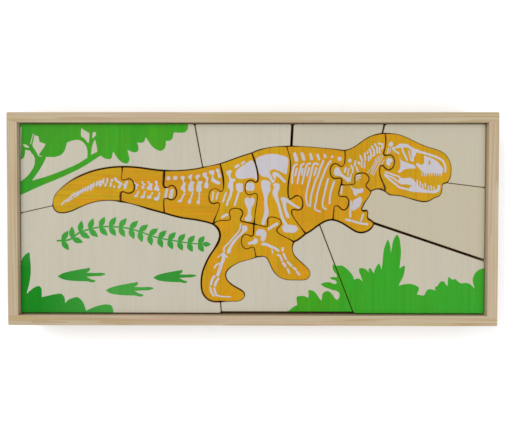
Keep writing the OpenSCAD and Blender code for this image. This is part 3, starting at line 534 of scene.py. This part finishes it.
def skull():
    """The skull's arches and openings, its toothed upper jaw and the slotted lower jaw."""
    upper = bones(
        [(97.1, 52.4), (98, 54.6), (99.6, 54.8), (100.1, 52.6), (98.6, 51)], [0.8, (97, 50.4), (96.3, 46.6)],
        [0.7, (98.3, 50), (98, 47.2)],
        [(99.6, 50.6), (103, 52), (104.3, 53.2), (107, 53.5), (110.5, 53), (113, 51.3), (115, 50.2),
         (118.4, 48.7), (116.7, 47.4), (116.3, 45.3), (115, 43.8), (114.8, 41), (113.8, 40.8), (113.5, 43.6),
         (113.2, 46.5), (112.7, 49), (110.5, 50.6), (107, 50.7), (104.5, 50.5), (101.4, 50)],
        [1.2, (100, 50), (101.6, 48.4), (104.2, 46.6)],
        [1.3, (106.6, 50.4), (107.6, 47.4), (109, 44.5), (110.1, 42)],
        [1.1, (111.6, 48.2), (112, 45.5), (113, 41.6)],
        [(104.9, 44), (106.3, 41.6), (108, 40.8), (110, 40.3), (112, 39.3), (114, 38.8), (116, 37.4),
         (116.3, 36.3), (113, 35.9), (110, 35.6), (107.5, 34.7), (105.3, 33.1), (103.6, 33.2), (104.6, 34.8),
         (105.4, 36.6), (105.6, 39), (105.3, 41.6)],
        [1.7, 1.3, (117, 48.1), (122, 46.9), (126, 45.7), (130, 44.3), (133, 42.9), (135.5, 41.2),
         (136.9, 38.5), (137.4, 35.5), (137.3, 33.6)],
        [(122.2, 44.7), (125, 44.1), (128, 42.9), (130.4, 41.6), (132.3, 40.1), (133.6, 38.4), (134.9, 36.9),
         (135.6, 35.9), (135.5, 33.6), (135, 32.4), (131, 32.6), (127, 32.6), (123, 32.6), (121, 34),
         (119.8, 34.8), (118.6, 36.2), (117.4, 37.4), (116.6, 38.6), (117.2, 40), (118.6, 39.2),
         (120.4, 38.5), (122.2, 39.8), (122.4, 42)],
    )
    upper_teeth = [stroke(0.85, (x, 33.4), (x - 0.1, 30.7), end=0.5)
                   for x in (121, 122.7, 124.3, 126, 127.7, 129.4, 131.1, 132.8, 134.5)]
    lower = bones(
        [1.1, (95, 33.4), (97.2, 32.8), (99.6, 31.8), (102, 31), (104.4, 30.2), (105.4, 29)],
        [1.2, (94.7, 31.9), (97.2, 30.7), (100.5, 29.3), (103, 27.6), (105, 26)],
        [1.4, (94.8, 31), (98, 28.2), (100.2, 26.4), (102.6, 24.6), (104.6, 22.8), (107, 22), (110, 21.4),
         (112.4, 20.7)],
        [(104.9, 29.3), (108, 29), (111.5, 29.4), (113.6, 29), (115.1, 27.8), (115.8, 26), (115.3, 24.4),
         (113.5, 24.1), (111, 24.6), (108.5, 24.8), (106, 24.8), (104.9, 26)],
        [(112, 22.3), (114, 24), (116.2, 26.5), (117.6, 24.9), (119, 23.5), (120.5, 22.2), (122.5, 21.4),
         (125, 20.8), (127.5, 20.4), (130, 20.6), (131.8, 22), (132.1, 24.3), (133.3, 24), (133.5, 21),
         (132.3, 19.3), (130, 18.5), (126, 18.6), (121, 18.9), (117, 19.2), (113.5, 19.5), (111.6, 20.3)],
    )
    lower_teeth = [stroke(0.9, (x, y), (x + 0.2, y - 2.4)) for x, y in
                   [(117.4, 27.6), (119.6, 26.4), (121.4, 24.6), (123.2, 25.2), (125.4, 23.4), (127.3, 23.6),
                    (129.2, 23)]]
    opening = blob((125.2, 40), (126, 41.8), (126.9, 40), (126, 38.2))
    return ink(*upper, *upper_teeth) + clear(opening) + ink(*lower, *lower_teeth)


def arm_bones():
    """The short forelimb."""
    return ink(*bones(
        [(70.5, 23.4), (72, 22.3), (74.2, 21.6), (76.8, 21.6), (78.5, 22.2), (79.7, 20.9), (79.4, 19.6),
         (77.7, 18.7), (75.5, 18.2), (74.4, 16.5), (73.3, 17), (72.2, 18.7), (71.8, 20.9), (70.7, 22.2)],
        [(77.4, 16), (78.6, 14.3), (78, 11.7), (76.8, 9.1), (74.6, 7.4), (72, 6), (71.4, 8.7), (71.9, 10.9),
         (72.3, 13.3), (73.7, 14.3), (75.5, 15.2)],
        [1.5, (70.9, 12.6), (70.7, 8.7), (70.3, 5.2), (70.5, 1.9)],
        [1.7, 1.5, (67.4, -0.2), (70.7, -0.9), (74.6, -2), (78.5, -3), (82.5, -3.5)],
        [1.3, (79.4, 3.5), (78.7, 1.3), (77.9, -0.9)], [1.1, (64.3, 23.4), (63.8, 18.3)],
    ))


def rear_leg_bones():
    """Shin, long foot and toes of the leg that trails."""
    return ink(*bones(
        [1, 1.2, (-7.6, -3.4), (-7.8, -6), (-8.6, -8.1), (-10.3, -10.2), (-12.6, -12.7), (-14.7, -15.3),
         (-17.1, -17.8), (-19.4, -20.7), (-19.1, -22.8)],
        [(-6.2, -4.6), (-4.8, -4.2), (-3.2, -4.7), (-2.6, -6.6), (-3.7, -8.6), (-5.9, -10.1), (-7.4, -11.6),
         (-9.6, -14), (-12.2, -17.4), (-14.2, -20.8), (-15, -23.8), (-17, -24.2), (-16.9, -22),
         (-15.2, -18.6), (-13, -15.2), (-10.4, -12.2), (-7.6, -9.6), (-6.4, -7.4)],
        [2.3, 2.4, (-19.7, -24.6), (-19.7, -28), (-21.3, -32), (-22.4, -36), (-23.7, -39.4)],
        [1.3, (-18.8, -25.4), (-17.2, -26.7)], [0.9, (-20.8, -24.6), (-23.8, -27)],
        [1.3, (-22.4, -31.2), (-24.8, -32.4), (-26.1, -34.3)],
        [1.7, (-26.3, -40.4), (-27.8, -43), (-28.6, -46.3)],
        [1.5, (-29, -48.6), (-28.3, -51.5), (-26.7, -54.2)],
        [1.7, (-23.2, -42.2), (-24.6, -43.9), (-25.7, -47)],
        [1.4, (-26.3, -48.9), (-25.6, -51.5), (-24.6, -54)],
        [1.2, 0.7, (-24.6, -53.9), (-22, -54.7), (-19.4, -55), (-14.4, -55.1)],
    ))


def front_leg_bones():
    """Knee cap, shin, foot and toes of the leg that steps forward."""
    return ink(*bones(
        [(3.3, -9.4), (5, -7.2), (7.5, -6.8), (9.9, -8), (10.9, -10.6), (10.4, -13.2), (9, -15.5),
         (7.4, -15.4), (6.7, -13.6), (7, -12), (5.6, -11.4), (4, -11.6)],
        [(-2.5, -16.8), (-1, -15.9), (1.2, -14.9), (2.8, -13.3), (4.4, -13.9), (4.8, -16), (3.4, -17.5),
         (0.5, -17.5), (-1.8, -17.8)],
        [1.7, 2.2, (12.4, -6.9), (15, -5), (18.2, -3.2)],
        [2.1, 1.7, (8.2, -17.5), (11, -17.8), (14, -19.3), (17, -20.5), (19.5, -22.3)],
        [0.9, (14.9, -21.6), (15.4, -24)], [1.9, (22.4, -20.6), (22.3, -22)],
        [1.4, (18.9, -25.3), (20.4, -25.7), (21.2, -27.2), (21.9, -29.3)],
        [1.5, (23.1, -24.5), (24, -26.5), (24.9, -28.3)], [1.7, (22.7, -31), (24.5, -33.4)],
        [1.5, (25.9, -30.2), (28.7, -33)], [1.4, (25.9, -35.3), (27.3, -38)],
        [1.5, (30.2, -34.3), (31.9, -35.7)], [1.5, (32.6, -37.2), (34.3, -39.3)],
    ))


def skeleton():
    """Every bone, as one drawing that runs across the pieces."""
    tail = ink(*tail_tip_bones(), *tail_middle_bones(), *tail_base_bones())
    return (
        tail + hip_bones() + chest_bones() + neck_bones() + skull() + arm_bones()
        + rear_leg_bones() + front_leg_bones()
    )


# ---------------------------------------------------------------- meshes

def top_outline(node):
    """The outline of a CAD piece's top, anticlockwise, in frame millimetres."""
    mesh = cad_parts[node].data
    place = np.array([v.co for v in mesh.vertices]) / MM
    top = place[:, 2].max()
    sides = set()
    for face in mesh.polygons:
        if all(place[i, 2] > top - 0.001 for i in face.vertices):
            corners = [tuple(np.round(place[i, :2], 4)) for i in face.vertices]
            sides.update(zip(corners, corners[1:] + corners[:1]))
    following = {a: b for a, b in sides if (b, a) not in sides}
    first = min(following)
    walk = [first]
    while following[walk[-1]] != first:
        walk.append(following[walk[-1]])
    return np.array(walk)


def corner_normals(outline):
    """The outward direction at each corner of an anticlockwise outline."""
    side = np.roll(outline, -1, 0) - outline
    side /= np.linalg.norm(side, axis=1)[:, None]
    outward = np.stack([side[:, 1], -side[:, 0]], 1)
    both = outward + np.roll(outward, 1, 0)
    return both / np.linalg.norm(both, axis=1)[:, None]


def edge_field(points, outline):
    """How far each point lies from the outline, and the outward direction of the nearest bit of outline."""
    normals = corner_normals(outline)
    side = np.roll(outline, -1, 0) - outline
    apart = points[:, None] - outline[None]
    t = np.clip((apart * side).sum(2) / (side**2).sum(1), 0, 1)
    away = np.linalg.norm(apart - t[..., None] * side, axis=2)
    nearest = away.argmin(1)
    every = np.arange(len(points))
    share = t[every, nearest][:, None]
    outward = (1 - share) * normals[nearest] + share * np.roll(normals, -1, 0)[nearest]
    return away[every, nearest], outward / np.linalg.norm(outward, axis=1)[:, None]


def inside(points, outline):
    """Which points an outline winds round, however it crosses itself."""
    x, y = points[:, :1], points[:, 1:]
    a, b = outline, np.roll(outline, -1, 0)
    left_of = (b[:, 0] - a[:, 0]) * (y - a[:, 1]) - (x - a[:, 0]) * (b[:, 1] - a[:, 1])
    up = (a[:, 1] <= y) & (b[:, 1] > y) & (left_of > 0)
    down = (a[:, 1] > y) & (b[:, 1] <= y) & (left_of < 0)
    return up.sum(1) != down.sum(1)


def inset(outline, depth):
    """The outline drawn depth further in, without the points that would fold over each other."""
    moved = outline - corner_normals(outline) * depth
    away, _ = edge_field(moved, outline)
    return moved[(away > 0.97 * depth) & inside(moved, outline)]


def fill(outline, shapes):
    """Points and triangles that fill the outline, split along the easing's levels and every printed shape."""
    low, high = outline.min(0), outline.max(0)
    near = [s for s in shapes if (s.max(0) > low).all() and (s.min(0) < high).all()]
    loops = [outline] + [inset(outline, level) for level in LEVELS] + near
    points, sides = [], []
    for loop in loops:
        start, count = len(points), len(loop)
        points += [Vector(p) for p in loop]
        sides += [(start + i, start + (i + 1) % count) for i in range(count)]
    made, _, faces, *_ = delaunay_2d_cdt(points, sides, [], 0, SAME_POINT)
    made = np.array([tuple(p) for p in made])
    faces = np.array(faces)
    kept = faces[inside(made[faces].mean(1), outline)]
    used, kept = np.unique(kept, return_inverse=True)
    return made[used], kept.reshape(-1, 3)


def open_sides(faces):
    """The directed sides that belong to one triangle only."""
    sides = {(int(a), int(b)) for f in faces for a, b in ((f[0], f[1]), (f[1], f[2]), (f[2], f[0]))}
    return np.array([s for s in sides if s[::-1] not in sides])


def shell(upper, lower, faces):
    """The points and faces of a closed body between two surfaces, and how many faces each of its runs has."""
    count, rims = len(upper), open_sides(faces)
    walls = np.column_stack([rims[:, 0] + count, rims[:, 1] + count, rims[:, 1], rims[:, 0]])
    runs = [faces.tolist(), walls.tolist(), (faces[:, ::-1] + count).tolist()]
    return np.vstack([upper, lower]), sum(runs, []), [len(run) for run in runs]


def add_mesh(name, places, faces, slots, materials, rim, lean):
    """A smooth-shaded object from places in millimetres, with rim and lean values on every point."""
    mesh = bpy.data.meshes.new(name)
    mesh.from_pydata((places * MM).tolist(), [], faces)
    mesh.polygons.foreach_set("material_index", slots)
    for material in materials:
        mesh.materials.append(material)
    for label, values in (("rim", rim), ("lean", np.full(len(places), lean))):
        mesh.attributes.new(label, "FLOAT", "POINT").data.foreach_set("value", values.astype(np.float32))
    mesh.shade_smooth()
    mesh.set_sharp_from_angle(angle=math.radians(40))
    mesh.validate()
    made = bpy.data.objects.new(name, mesh)
    bpy.context.scene.collection.objects.link(made)
    return made


def eased(points, outline):
    """How far the sanded edge drops at each point, its surface direction there, and the rim value."""
    away, outward = edge_field(points, outline)
    tilt = np.clip(1 - away / EASING, 0, 1)
    rise = np.sqrt(1 - tilt**2)
    normal = np.column_stack([outward * tilt[:, None], rise])
    return EASING * (1 - rise), normal, np.clip(1 - away / RIM, 0, 1) ** 2


def build_piece(node, drawing, layer_name, layer_height, layer_material, materials):
    """Replaces a CAD piece by an eased block and, where it has a drawing, a thin printed layer on top."""
    outline = top_outline(node)
    low, high = (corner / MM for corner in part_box(node))
    drawing = [(wet, (PRINT_SHIFT + shape @ PRINT_SKEW.T) * PLAN) for wet, shape in drawing]
    points, faces = fill(outline, [shape for _, shape in drawing])
    drop, normal, rim = eased(points, outline)
    top = np.column_stack([points, high.z - drop])
    bottom = np.column_stack([points, low.z + drop])
    places, all_faces, runs = shell(top, bottom, faces)
    slots = np.repeat([0, 1, 2], runs)
    block = add_mesh(
        node + "_block", places, all_faces, slots, materials, np.tile(rim, 2), LEAN.get(node, 0.0),
    )
    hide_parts(node)
    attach(block, node + "_body")

    centres = points[faces].mean(1)
    inked = np.zeros(len(faces), bool)
    for wet, shape in drawing:
        inked[inside(centres, shape)] = wet
    if not inked.any():
        return
    used, faces = np.unique(faces[inked], return_inverse=True)
    skin, outward = top[used], normal[used]
    places, all_faces, _ = shell(skin + outward * layer_height, skin - outward * SUNK, faces.reshape(-1, 3))
    layer = add_mesh(
        f"{node}_{layer_name}", places, all_faces, np.zeros(len(all_faces), int), [layer_material],
        np.tile(rim[used], 2), BLUER.get(node, 0.0),
    )
    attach(layer, node + "_body")


# ---------------------------------------------------------------- materials

def srgb(red, green, blue):
    """Linear colour of a display colour given as three numbers up to 255."""
    parts = np.array([red, green, blue]) / 255
    linear = np.where(parts <= 0.04045, parts / 12.92, ((parts + 0.055) / 1.055) ** 2.4)
    return (*linear.tolist(), 1.0)


class Finish:
    """A principled material, with short calls for the nodes that feed it."""

    def __init__(self, name, specular):
        self.material = bpy.data.materials.new(name)
        self.material.use_nodes = True
        self.tree = self.material.node_tree
        self.surface = self.tree.nodes["Principled BSDF"]
        self.surface.inputs["Specular IOR Level"].default_value = specular
        self.place = self.node("TexCoord").outputs["Object"]

    def node(self, kind, inputs=None, **settings):
        """A shader node of the kind, with its inputs fed."""
        made = self.tree.nodes.new("ShaderNode" + kind)
        for key, value in settings.items():
            setattr(made, key, value)
        for key, value in (inputs or {}).items():
            self.feed(made.inputs[key], value)
        return made

    def feed(self, socket, value):
        """Links a socket to another one, or sets it to a value."""
        if isinstance(value, bpy.types.NodeSocket):
            self.tree.links.new(value, socket)
        else:
            socket.default_value = value

    def noise(self, size, detail=3.0, roughness=0.55, shift=0.0, distortion=0.0):
        """Noise whose features measure size, in millimetres along X, Y and Z."""
        scaled = self.node("Mapping", {
            "Vector": self.place,
            "Scale": [1 / (length * MM) for length in size],
            "Location": (shift, 1.7 * shift, 2.3 * shift),
        })
        made = self.node("TexNoise", {
            "Vector": scaled.outputs[0], "Scale": 1.0, "Detail": detail, "Roughness": roughness,
            "Distortion": distortion,
        })
        return made.outputs["Fac"]

    def spread(self, value, low, high, to_low=0.0, to_high=1.0):
        """The value stretched from low..high to to_low..to_high, and held there."""
        return self.node("MapRange", {
            "Value": value, "From Min": low, "From Max": high, "To Min": to_low, "To Max": to_high,
        }).outputs[0]

    def math(self, operation, a, b):
        """A sum, a product or another operation on two values."""
        made = self.node("Math", operation=operation)
        self.feed(made.inputs[0], a)
        self.feed(made.inputs[1], b)
        return made.outputs[0]

    def mix(self, share, a, b):
        """From colour a to colour b, as the share rises from 0 to 1."""
        made = self.node("Mix", data_type="RGBA")
        for index, value in ((0, share), (6, a), (7, b)):
            self.feed(made.inputs[index], value)
        return made.outputs[2]

    def grade(self, field, a, b):
        """From one display colour to another as the field rises through its middle."""
        return self.mix(self.spread(field, 0.35, 0.65), srgb(*a), srgb(*b))

    def tints(self, colour, *layers):
        """The colour under display colours, each covering up to a share as a field goes from low to high."""
        for field, low, high, share, over in layers:
            colour = self.mix(self.spread(field, low, high, 0, share), colour, srgb(*over))
        return colour

    def value(self, name):
        """A value kept on the mesh's points."""
        return self.node("Attribute", attribute_name=name).outputs["Fac"]

    def finish(self, colour, roughness, height, depth):
        """Sets the surface: colour, roughness, and relief of the given depth in millimetres."""
        self.feed(self.surface.inputs["Base Color"], colour)
        self.feed(self.surface.inputs["Roughness"], roughness)
        relief = self.node("Bump", {"Height": height, "Strength": 0.6, "Distance": depth * MM})
        self.feed(self.surface.inputs["Normal"], relief.outputs[0])
        return self.material


def grain_fields(finish, along_x=False):
    """Board grain that runs along Y unless told otherwise: broad tone, growth lines, fine pores, streaks."""

    def field(across, along, height, **settings):
        return finish.noise((along, across, height) if along_x else (across, along, height), **settings)

    tone = field(22, 130, 40, detail=2)
    lines = field(1.3, 60, 5, detail=4, roughness=0.6, distortion=0.3)
    pores = field(0.32, 5, 1.2, detail=2, shift=9)
    streaks = field(3, 45, 20, detail=3, roughness=0.6, shift=13)
    return tone, lines, pores, streaks


def bare_wood():
    """Pale sanded board, its grain along Y."""
    finish = Finish("bare_wood", specular=0.12)
    tone, lines, pores, streaks = grain_fields(finish)
    colour = finish.mix(finish.value("lean"), srgb(183, 178, 162), srgb(179, 171, 148))
    colour = finish.tints(
        colour,
        (tone, 0.35, 0.65, 0.35, (174, 170, 156)),
        (streaks, 0.5, 0.7, 0.4, (182, 171, 148)),
        (lines, 0.5, 0.75, 0.3, (167, 159, 139)),
        (pores, 0.6, 0.78, 0.3, (149, 137, 113)),
        # painted shade: the edges darken towards brown, partly handling wear and partly the shade of the cuts
        # between pieces
        (finish.value("rim"), 0.3, 1, 0.2, (136, 115, 84)),
    )
    roughness = finish.spread(lines, 0.3, 0.7, 0.62, 0.74)
    height = finish.math("ADD", finish.math("MULTIPLY", lines, 0.7), pores)
    return finish.finish(colour, roughness, height, 0.05)


def sawn_wood():
    """The cut sides: browned by the cut, with its upright streaks over the board's own layers."""
    finish = Finish("sawn_wood", specular=0.1)
    layers = finish.noise((40, 40, 1.3), detail=4, roughness=0.6, distortion=0.4)
    scratches = finish.noise((0.35, 0.35, 14), detail=3)
    scorch = finish.noise((3.5, 3.5, 60), detail=3, roughness=0.6, shift=4)
    colour = finish.grade(layers, (176, 130, 84), (148, 104, 64))
    colour = finish.tints(
        colour,
        (scratches, 0.45, 0.7, 0.35, (108, 70, 40)),
        (scorch, 0.45, 0.7, 0.55, (86, 52, 30)),
    )
    roughness = finish.spread(scratches, 0.3, 0.7, 0.7, 0.85)
    return finish.finish(colour, roughness, finish.math("ADD", scratches, layers), 0.12)


def yellow_paint(name, along_x):
    """Thin satin paint that lets the grain through and wears off on the sanded edge, where a dark brown
    stands for both the wear and painted shade of the cuts.
    """
    finish = Finish(name, specular=0.14)
    tone, lines, pores, streaks = grain_fields(finish, along_x)
    patches = finish.noise((12, 12, 30), detail=3, roughness=0.6, shift=19)
    colour = finish.mix(finish.value("lean"), srgb(190, 138, 3), srgb(186, 151, 5))
    colour = finish.tints(
        colour,
        (tone, 0.35, 0.65, 0.5, (180, 130, 5)),
        (streaks, 0.52, 0.66, 0.85, (173, 143, 8)),
        (streaks, 0.48, 0.34, 0.8, (199, 128, 3)),
        (patches, 0.52, 0.68, 0.55, (172, 134, 6)),
        (patches, 0.46, 0.32, 0.5, (200, 141, 4)),
        (lines, 0.48, 0.72, 0.6, (164, 114, 8)),
        (pores, 0.58, 0.78, 0.4, (152, 102, 8)),
    )
    # painted shade: near the edge the paint turns dark brown, partly wear and partly the shade of the cuts
    # between pieces
    handled_and_shaded = finish.spread(finish.value("rim"), 0.4, 1)
    edge_wear_and_shade = finish.math("MULTIPLY", handled_and_shaded, finish.spread(pores, 0.35, 0.6, 0.15, 0.65))
    colour = finish.mix(edge_wear_and_shade, colour, srgb(134, 92, 30))
    roughness = finish.spread(lines, 0.3, 0.7, 0.48, 0.6)
    height = finish.math("ADD", finish.math("MULTIPLY", lines, 0.6), pores)
    return finish.finish(colour, roughness, height, 0.05)


def bone_print():
    """Pale lilac-white ink on the yellow, thin enough for pores to show."""
    finish = Finish("bone_print", specular=0.14)
    tone, lines, pores, streaks = grain_fields(finish)
    colour = finish.grade(tone, (184, 180, 188), (177, 173, 179))
    colour = finish.tints(
        colour,
        (streaks, 0.5, 0.7, 0.4, (180, 174, 172)),
        (lines, 0.5, 0.72, 0.5, (173, 165, 160)),
        (pores, 0.62, 0.8, 0.5, (178, 154, 96)),
    )
    roughness = finish.spread(lines, 0.3, 0.7, 0.5, 0.62)
    return finish.finish(colour, roughness, finish.math("ADD", lines, pores), 0.04)


def green_print():
    """Leaf-green ink, deeper towards the right end, in the front left corner and on the last footprint."""
    finish = Finish("green_print", specular=0.14)
    tone, lines, pores, streaks = grain_fields(finish)
    place = finish.node("SeparateXYZ", {"Vector": finish.place})
    x, y = place.outputs["X"], place.outputs["Y"]
    left = finish.spread(x, -0.152 * PLAN, -0.098 * PLAN, 1, 0)
    front = finish.spread(y, -0.035 * PLAN, -0.010 * PLAN, 1, 0.3)
    right = finish.spread(x, 0.055 * PLAN, 0.090 * PLAN, 0, 0.6)
    blotches = finish.noise((9, 14, 20), detail=4, roughness=0.65, shift=21)
    colour = finish.grade(tone, (60, 148, 12), (46, 142, 16))
    colour = finish.tints(
        colour,
        (streaks, 0.5, 0.7, 0.6, (74, 150, 16)),
        (blotches, 0.5, 0.7, 0.6, (40, 158, 34)),
        (blotches, 0.48, 0.3, 0.5, (64, 136, 8)),
    )
    colour = finish.mix(right, colour, srgb(32, 149, 30))
    colour = finish.mix(finish.math("MULTIPLY", finish.value("lean"), 0.8), colour, srgb(60, 145, 60))
    colour = finish.mix(finish.math("MULTIPLY", left, front), colour, srgb(0, 119, 12))
    last_step = finish.math("MULTIPLY", front, finish.spread(x, -0.078 * PLAN, -0.068 * PLAN, 0, 0.75))
    last_step = finish.math("MULTIPLY", last_step, finish.value("lean"))
    colour = finish.mix(last_step, colour, srgb(34, 126, 34))
    colour = finish.tints(
        colour,
        (lines, 0.5, 0.72, 0.4, (34, 124, 16)),
        (pores, 0.62, 0.8, 0.4, (94, 142, 44)),
    )
    roughness = finish.spread(lines, 0.3, 0.7, 0.5, 0.62)
    return finish.finish(colour, roughness, finish.math("ADD", lines, pores), 0.04)


def pine(name, along_x):
    """Planed pine: growth rings and warm, pink and golden streaks that run the length of the rail."""
    finish = Finish(name, specular=0.12)

    def along(length, across, **settings):
        return finish.noise((length, across, across) if along_x else (across, length, across), **settings)

    drift = along(260, 9, detail=2, shift=3 if along_x else 7)
    place = finish.node("SeparateXYZ", {"Vector": finish.place})
    side = place.outputs["Y" if along_x else "X"]
    pith = finish.math("MULTIPLY", place.outputs["Z"], RING_SLOPE)
    ring = finish.math("ADD", finish.math("ADD", side, pith), finish.math("MULTIPLY", drift, RING_DRIFT))
    phase = finish.math("FRACT", finish.math("MULTIPLY", ring, RINGS), 0.0)
    late = finish.math("POWER", phase, 3.0)
    tone = along(90, 14, detail=2, shift=2)
    pink = along(150, 2.2, detail=2, shift=11)
    gold = along(120, 1.8, detail=2, shift=17)
    fibre = along(40, 0.3, detail=3, shift=5)
    colour = finish.grade(tone, (184, 169, 144), (175, 159, 131))
    colour = finish.tints(
        colour,
        (pink, 0.52, 0.66, 0.75, (182, 150, 130)),
        (gold, 0.54, 0.68, 0.75, (170, 151, 102)),
    )
    colour = finish.mix(finish.math("MULTIPLY", late, 0.5), colour, srgb(152, 124, 90))
    colour = finish.tints(colour, (fibre, 0.5, 0.75, 0.45, (155, 135, 105)))
    roughness = finish.spread(fibre, 0.3, 0.7, 0.58, 0.7)
    height = finish.math("ADD", finish.math("MULTIPLY", late, 0.4), fibre)
    return finish.finish(colour, roughness, height, 0.06)


def plywood():
    """Rotary-cut birch with a broad figure and short dark pores along X."""
    finish = Finish("plywood_panel_finish", specular=0.25)
    figure = finish.noise((70, 9, 30), detail=3, distortion=0.8)
    pores = finish.noise((6, 0.4, 0.6), detail=2, shift=6)
    colour = finish.grade(figure, (206, 182, 140), (188, 160, 116))
    colour = finish.tints(colour, (pores, 0.58, 0.78, 0.5, (150, 118, 76)))
    roughness = finish.spread(pores, 0.3, 0.7, 0.6, 0.74)
    return finish.finish(colour, roughness, finish.math("ADD", figure, pores), 0.05)


def floor_finish():
    """Matt and nearly white."""
    finish = Finish("floor_finish", specular=0.05)
    cloud = finish.noise((400, 400, 400), detail=2)
    colour = finish.mix(cloud, (0.955, 0.955, 0.955, 1), (0.97, 0.97, 0.97, 1))
    return finish.finish(colour, 0.9, cloud, 0.01)


# ---------------------------------------------------------------- the object

def build_pieces():
    """Makes the nineteen puzzle pieces."""
    bare, sawn = bare_wood(), sawn_wood()
    upright, level = yellow_paint("yellow_paint", False), yellow_paint("yellow_paint_level", True)
    bones, green = bone_print(), green_print()
    greens, drawn_bones = green_prints(), skeleton()
    for node in DINOSAUR:
        paint = level if node in GRAIN_ALONG_X else upright
        build_piece(node, drawn_bones, "bones", BONE_LAYER, bones, [paint, sawn, bare])
    for node in SURROUND:
        build_piece(node, greens.get(node, []), "print", GREEN_LAYER, green, [bare, sawn, bare])


def finish_tray():
    """Gives the CAD rails and panel their materials and breaks their sharp edges."""
    long_pine, short_pine = pine("pine_long", True), pine("pine_short", False)
    finishes = {
        "rail_back": long_pine, "rail_front": long_pine, "rail_left": short_pine, "rail_right": short_pine,
        "base_panel": plywood(),
    }
    for node, material in finishes.items():
        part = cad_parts[node]
        part.data.materials.clear()
        part.data.materials.append(material)
        part.modifiers.new("weld", "WELD").merge_threshold = 1e-6
        bevel = part.modifiers.new("broken_edge", "BEVEL")
        bevel.width = RAIL_EDGE * MM
        bevel.segments = 3
        bevel.limit_method = "ANGLE"
        bevel.angle_limit = math.radians(35)
        bevel.harden_normals = True


# ---------------------------------------------------------------- the studio

def add_camera():
    """Looks down from close above the tray, a hair off plumb."""
    data = bpy.data.cameras.new("camera")
    data.lens = LENS
    data.sensor_width = SENSOR
    made = bpy.data.objects.new("camera", data)
    made.location = CAMERA_PLACE * MM * PLAN
    looking = Euler([math.radians(angle) for angle in CAMERA_TURN]).to_matrix()
    made.rotation_euler = looking.transposed().to_euler()
    bpy.context.scene.collection.objects.link(made)
    bpy.context.scene.camera = made


def add_softbox(name, place, size, power):
    """A square or long lamp that faces the tray; place and size are in metres, power in watts."""
    data = bpy.data.lights.new(name, "AREA")
    data.shape = "RECTANGLE"
    data.size, data.size_y = size
    data.energy = power
    made = bpy.data.objects.new(name, data)
    made.location = place
    made.rotation_euler = (-Vector(place)).to_track_quat("-Z", "Y").to_euler()
    bpy.context.scene.collection.objects.link(made)


def add_studio():
    """Pale floor, even sky and two large softboxes."""
    mesh = bpy.data.meshes.new("floor")
    reach, under = 4.0, -0.0002
    corners = [(-reach, -reach, under), (reach, -reach, under), (reach, reach, under), (-reach, reach, under)]
    mesh.from_pydata(corners, [], [(0, 1, 2, 3)])
    mesh.materials.append(floor_finish())
    floor = bpy.data.objects.new("floor", mesh)
    bpy.context.scene.collection.objects.link(floor)
    add_softbox("softbox_left", (-1.3, 0.9, 1.5), (1.4, 1.4), 22)
    add_softbox("softbox_right", (1.4, -0.7, 1.6), (1.4, 1.4), 15)
    world = bpy.data.worlds.new("studio")
    world.use_nodes = True
    world.node_tree.nodes["Background"].inputs["Color"].default_value = (1, 1, 1, 1)
    world.node_tree.nodes["Background"].inputs["Strength"].default_value = 0.75
    bpy.context.scene.world = world
    bpy.context.scene.view_settings.view_transform = "Standard"


add_camera()
add_studio()
build_pieces()
finish_tray()
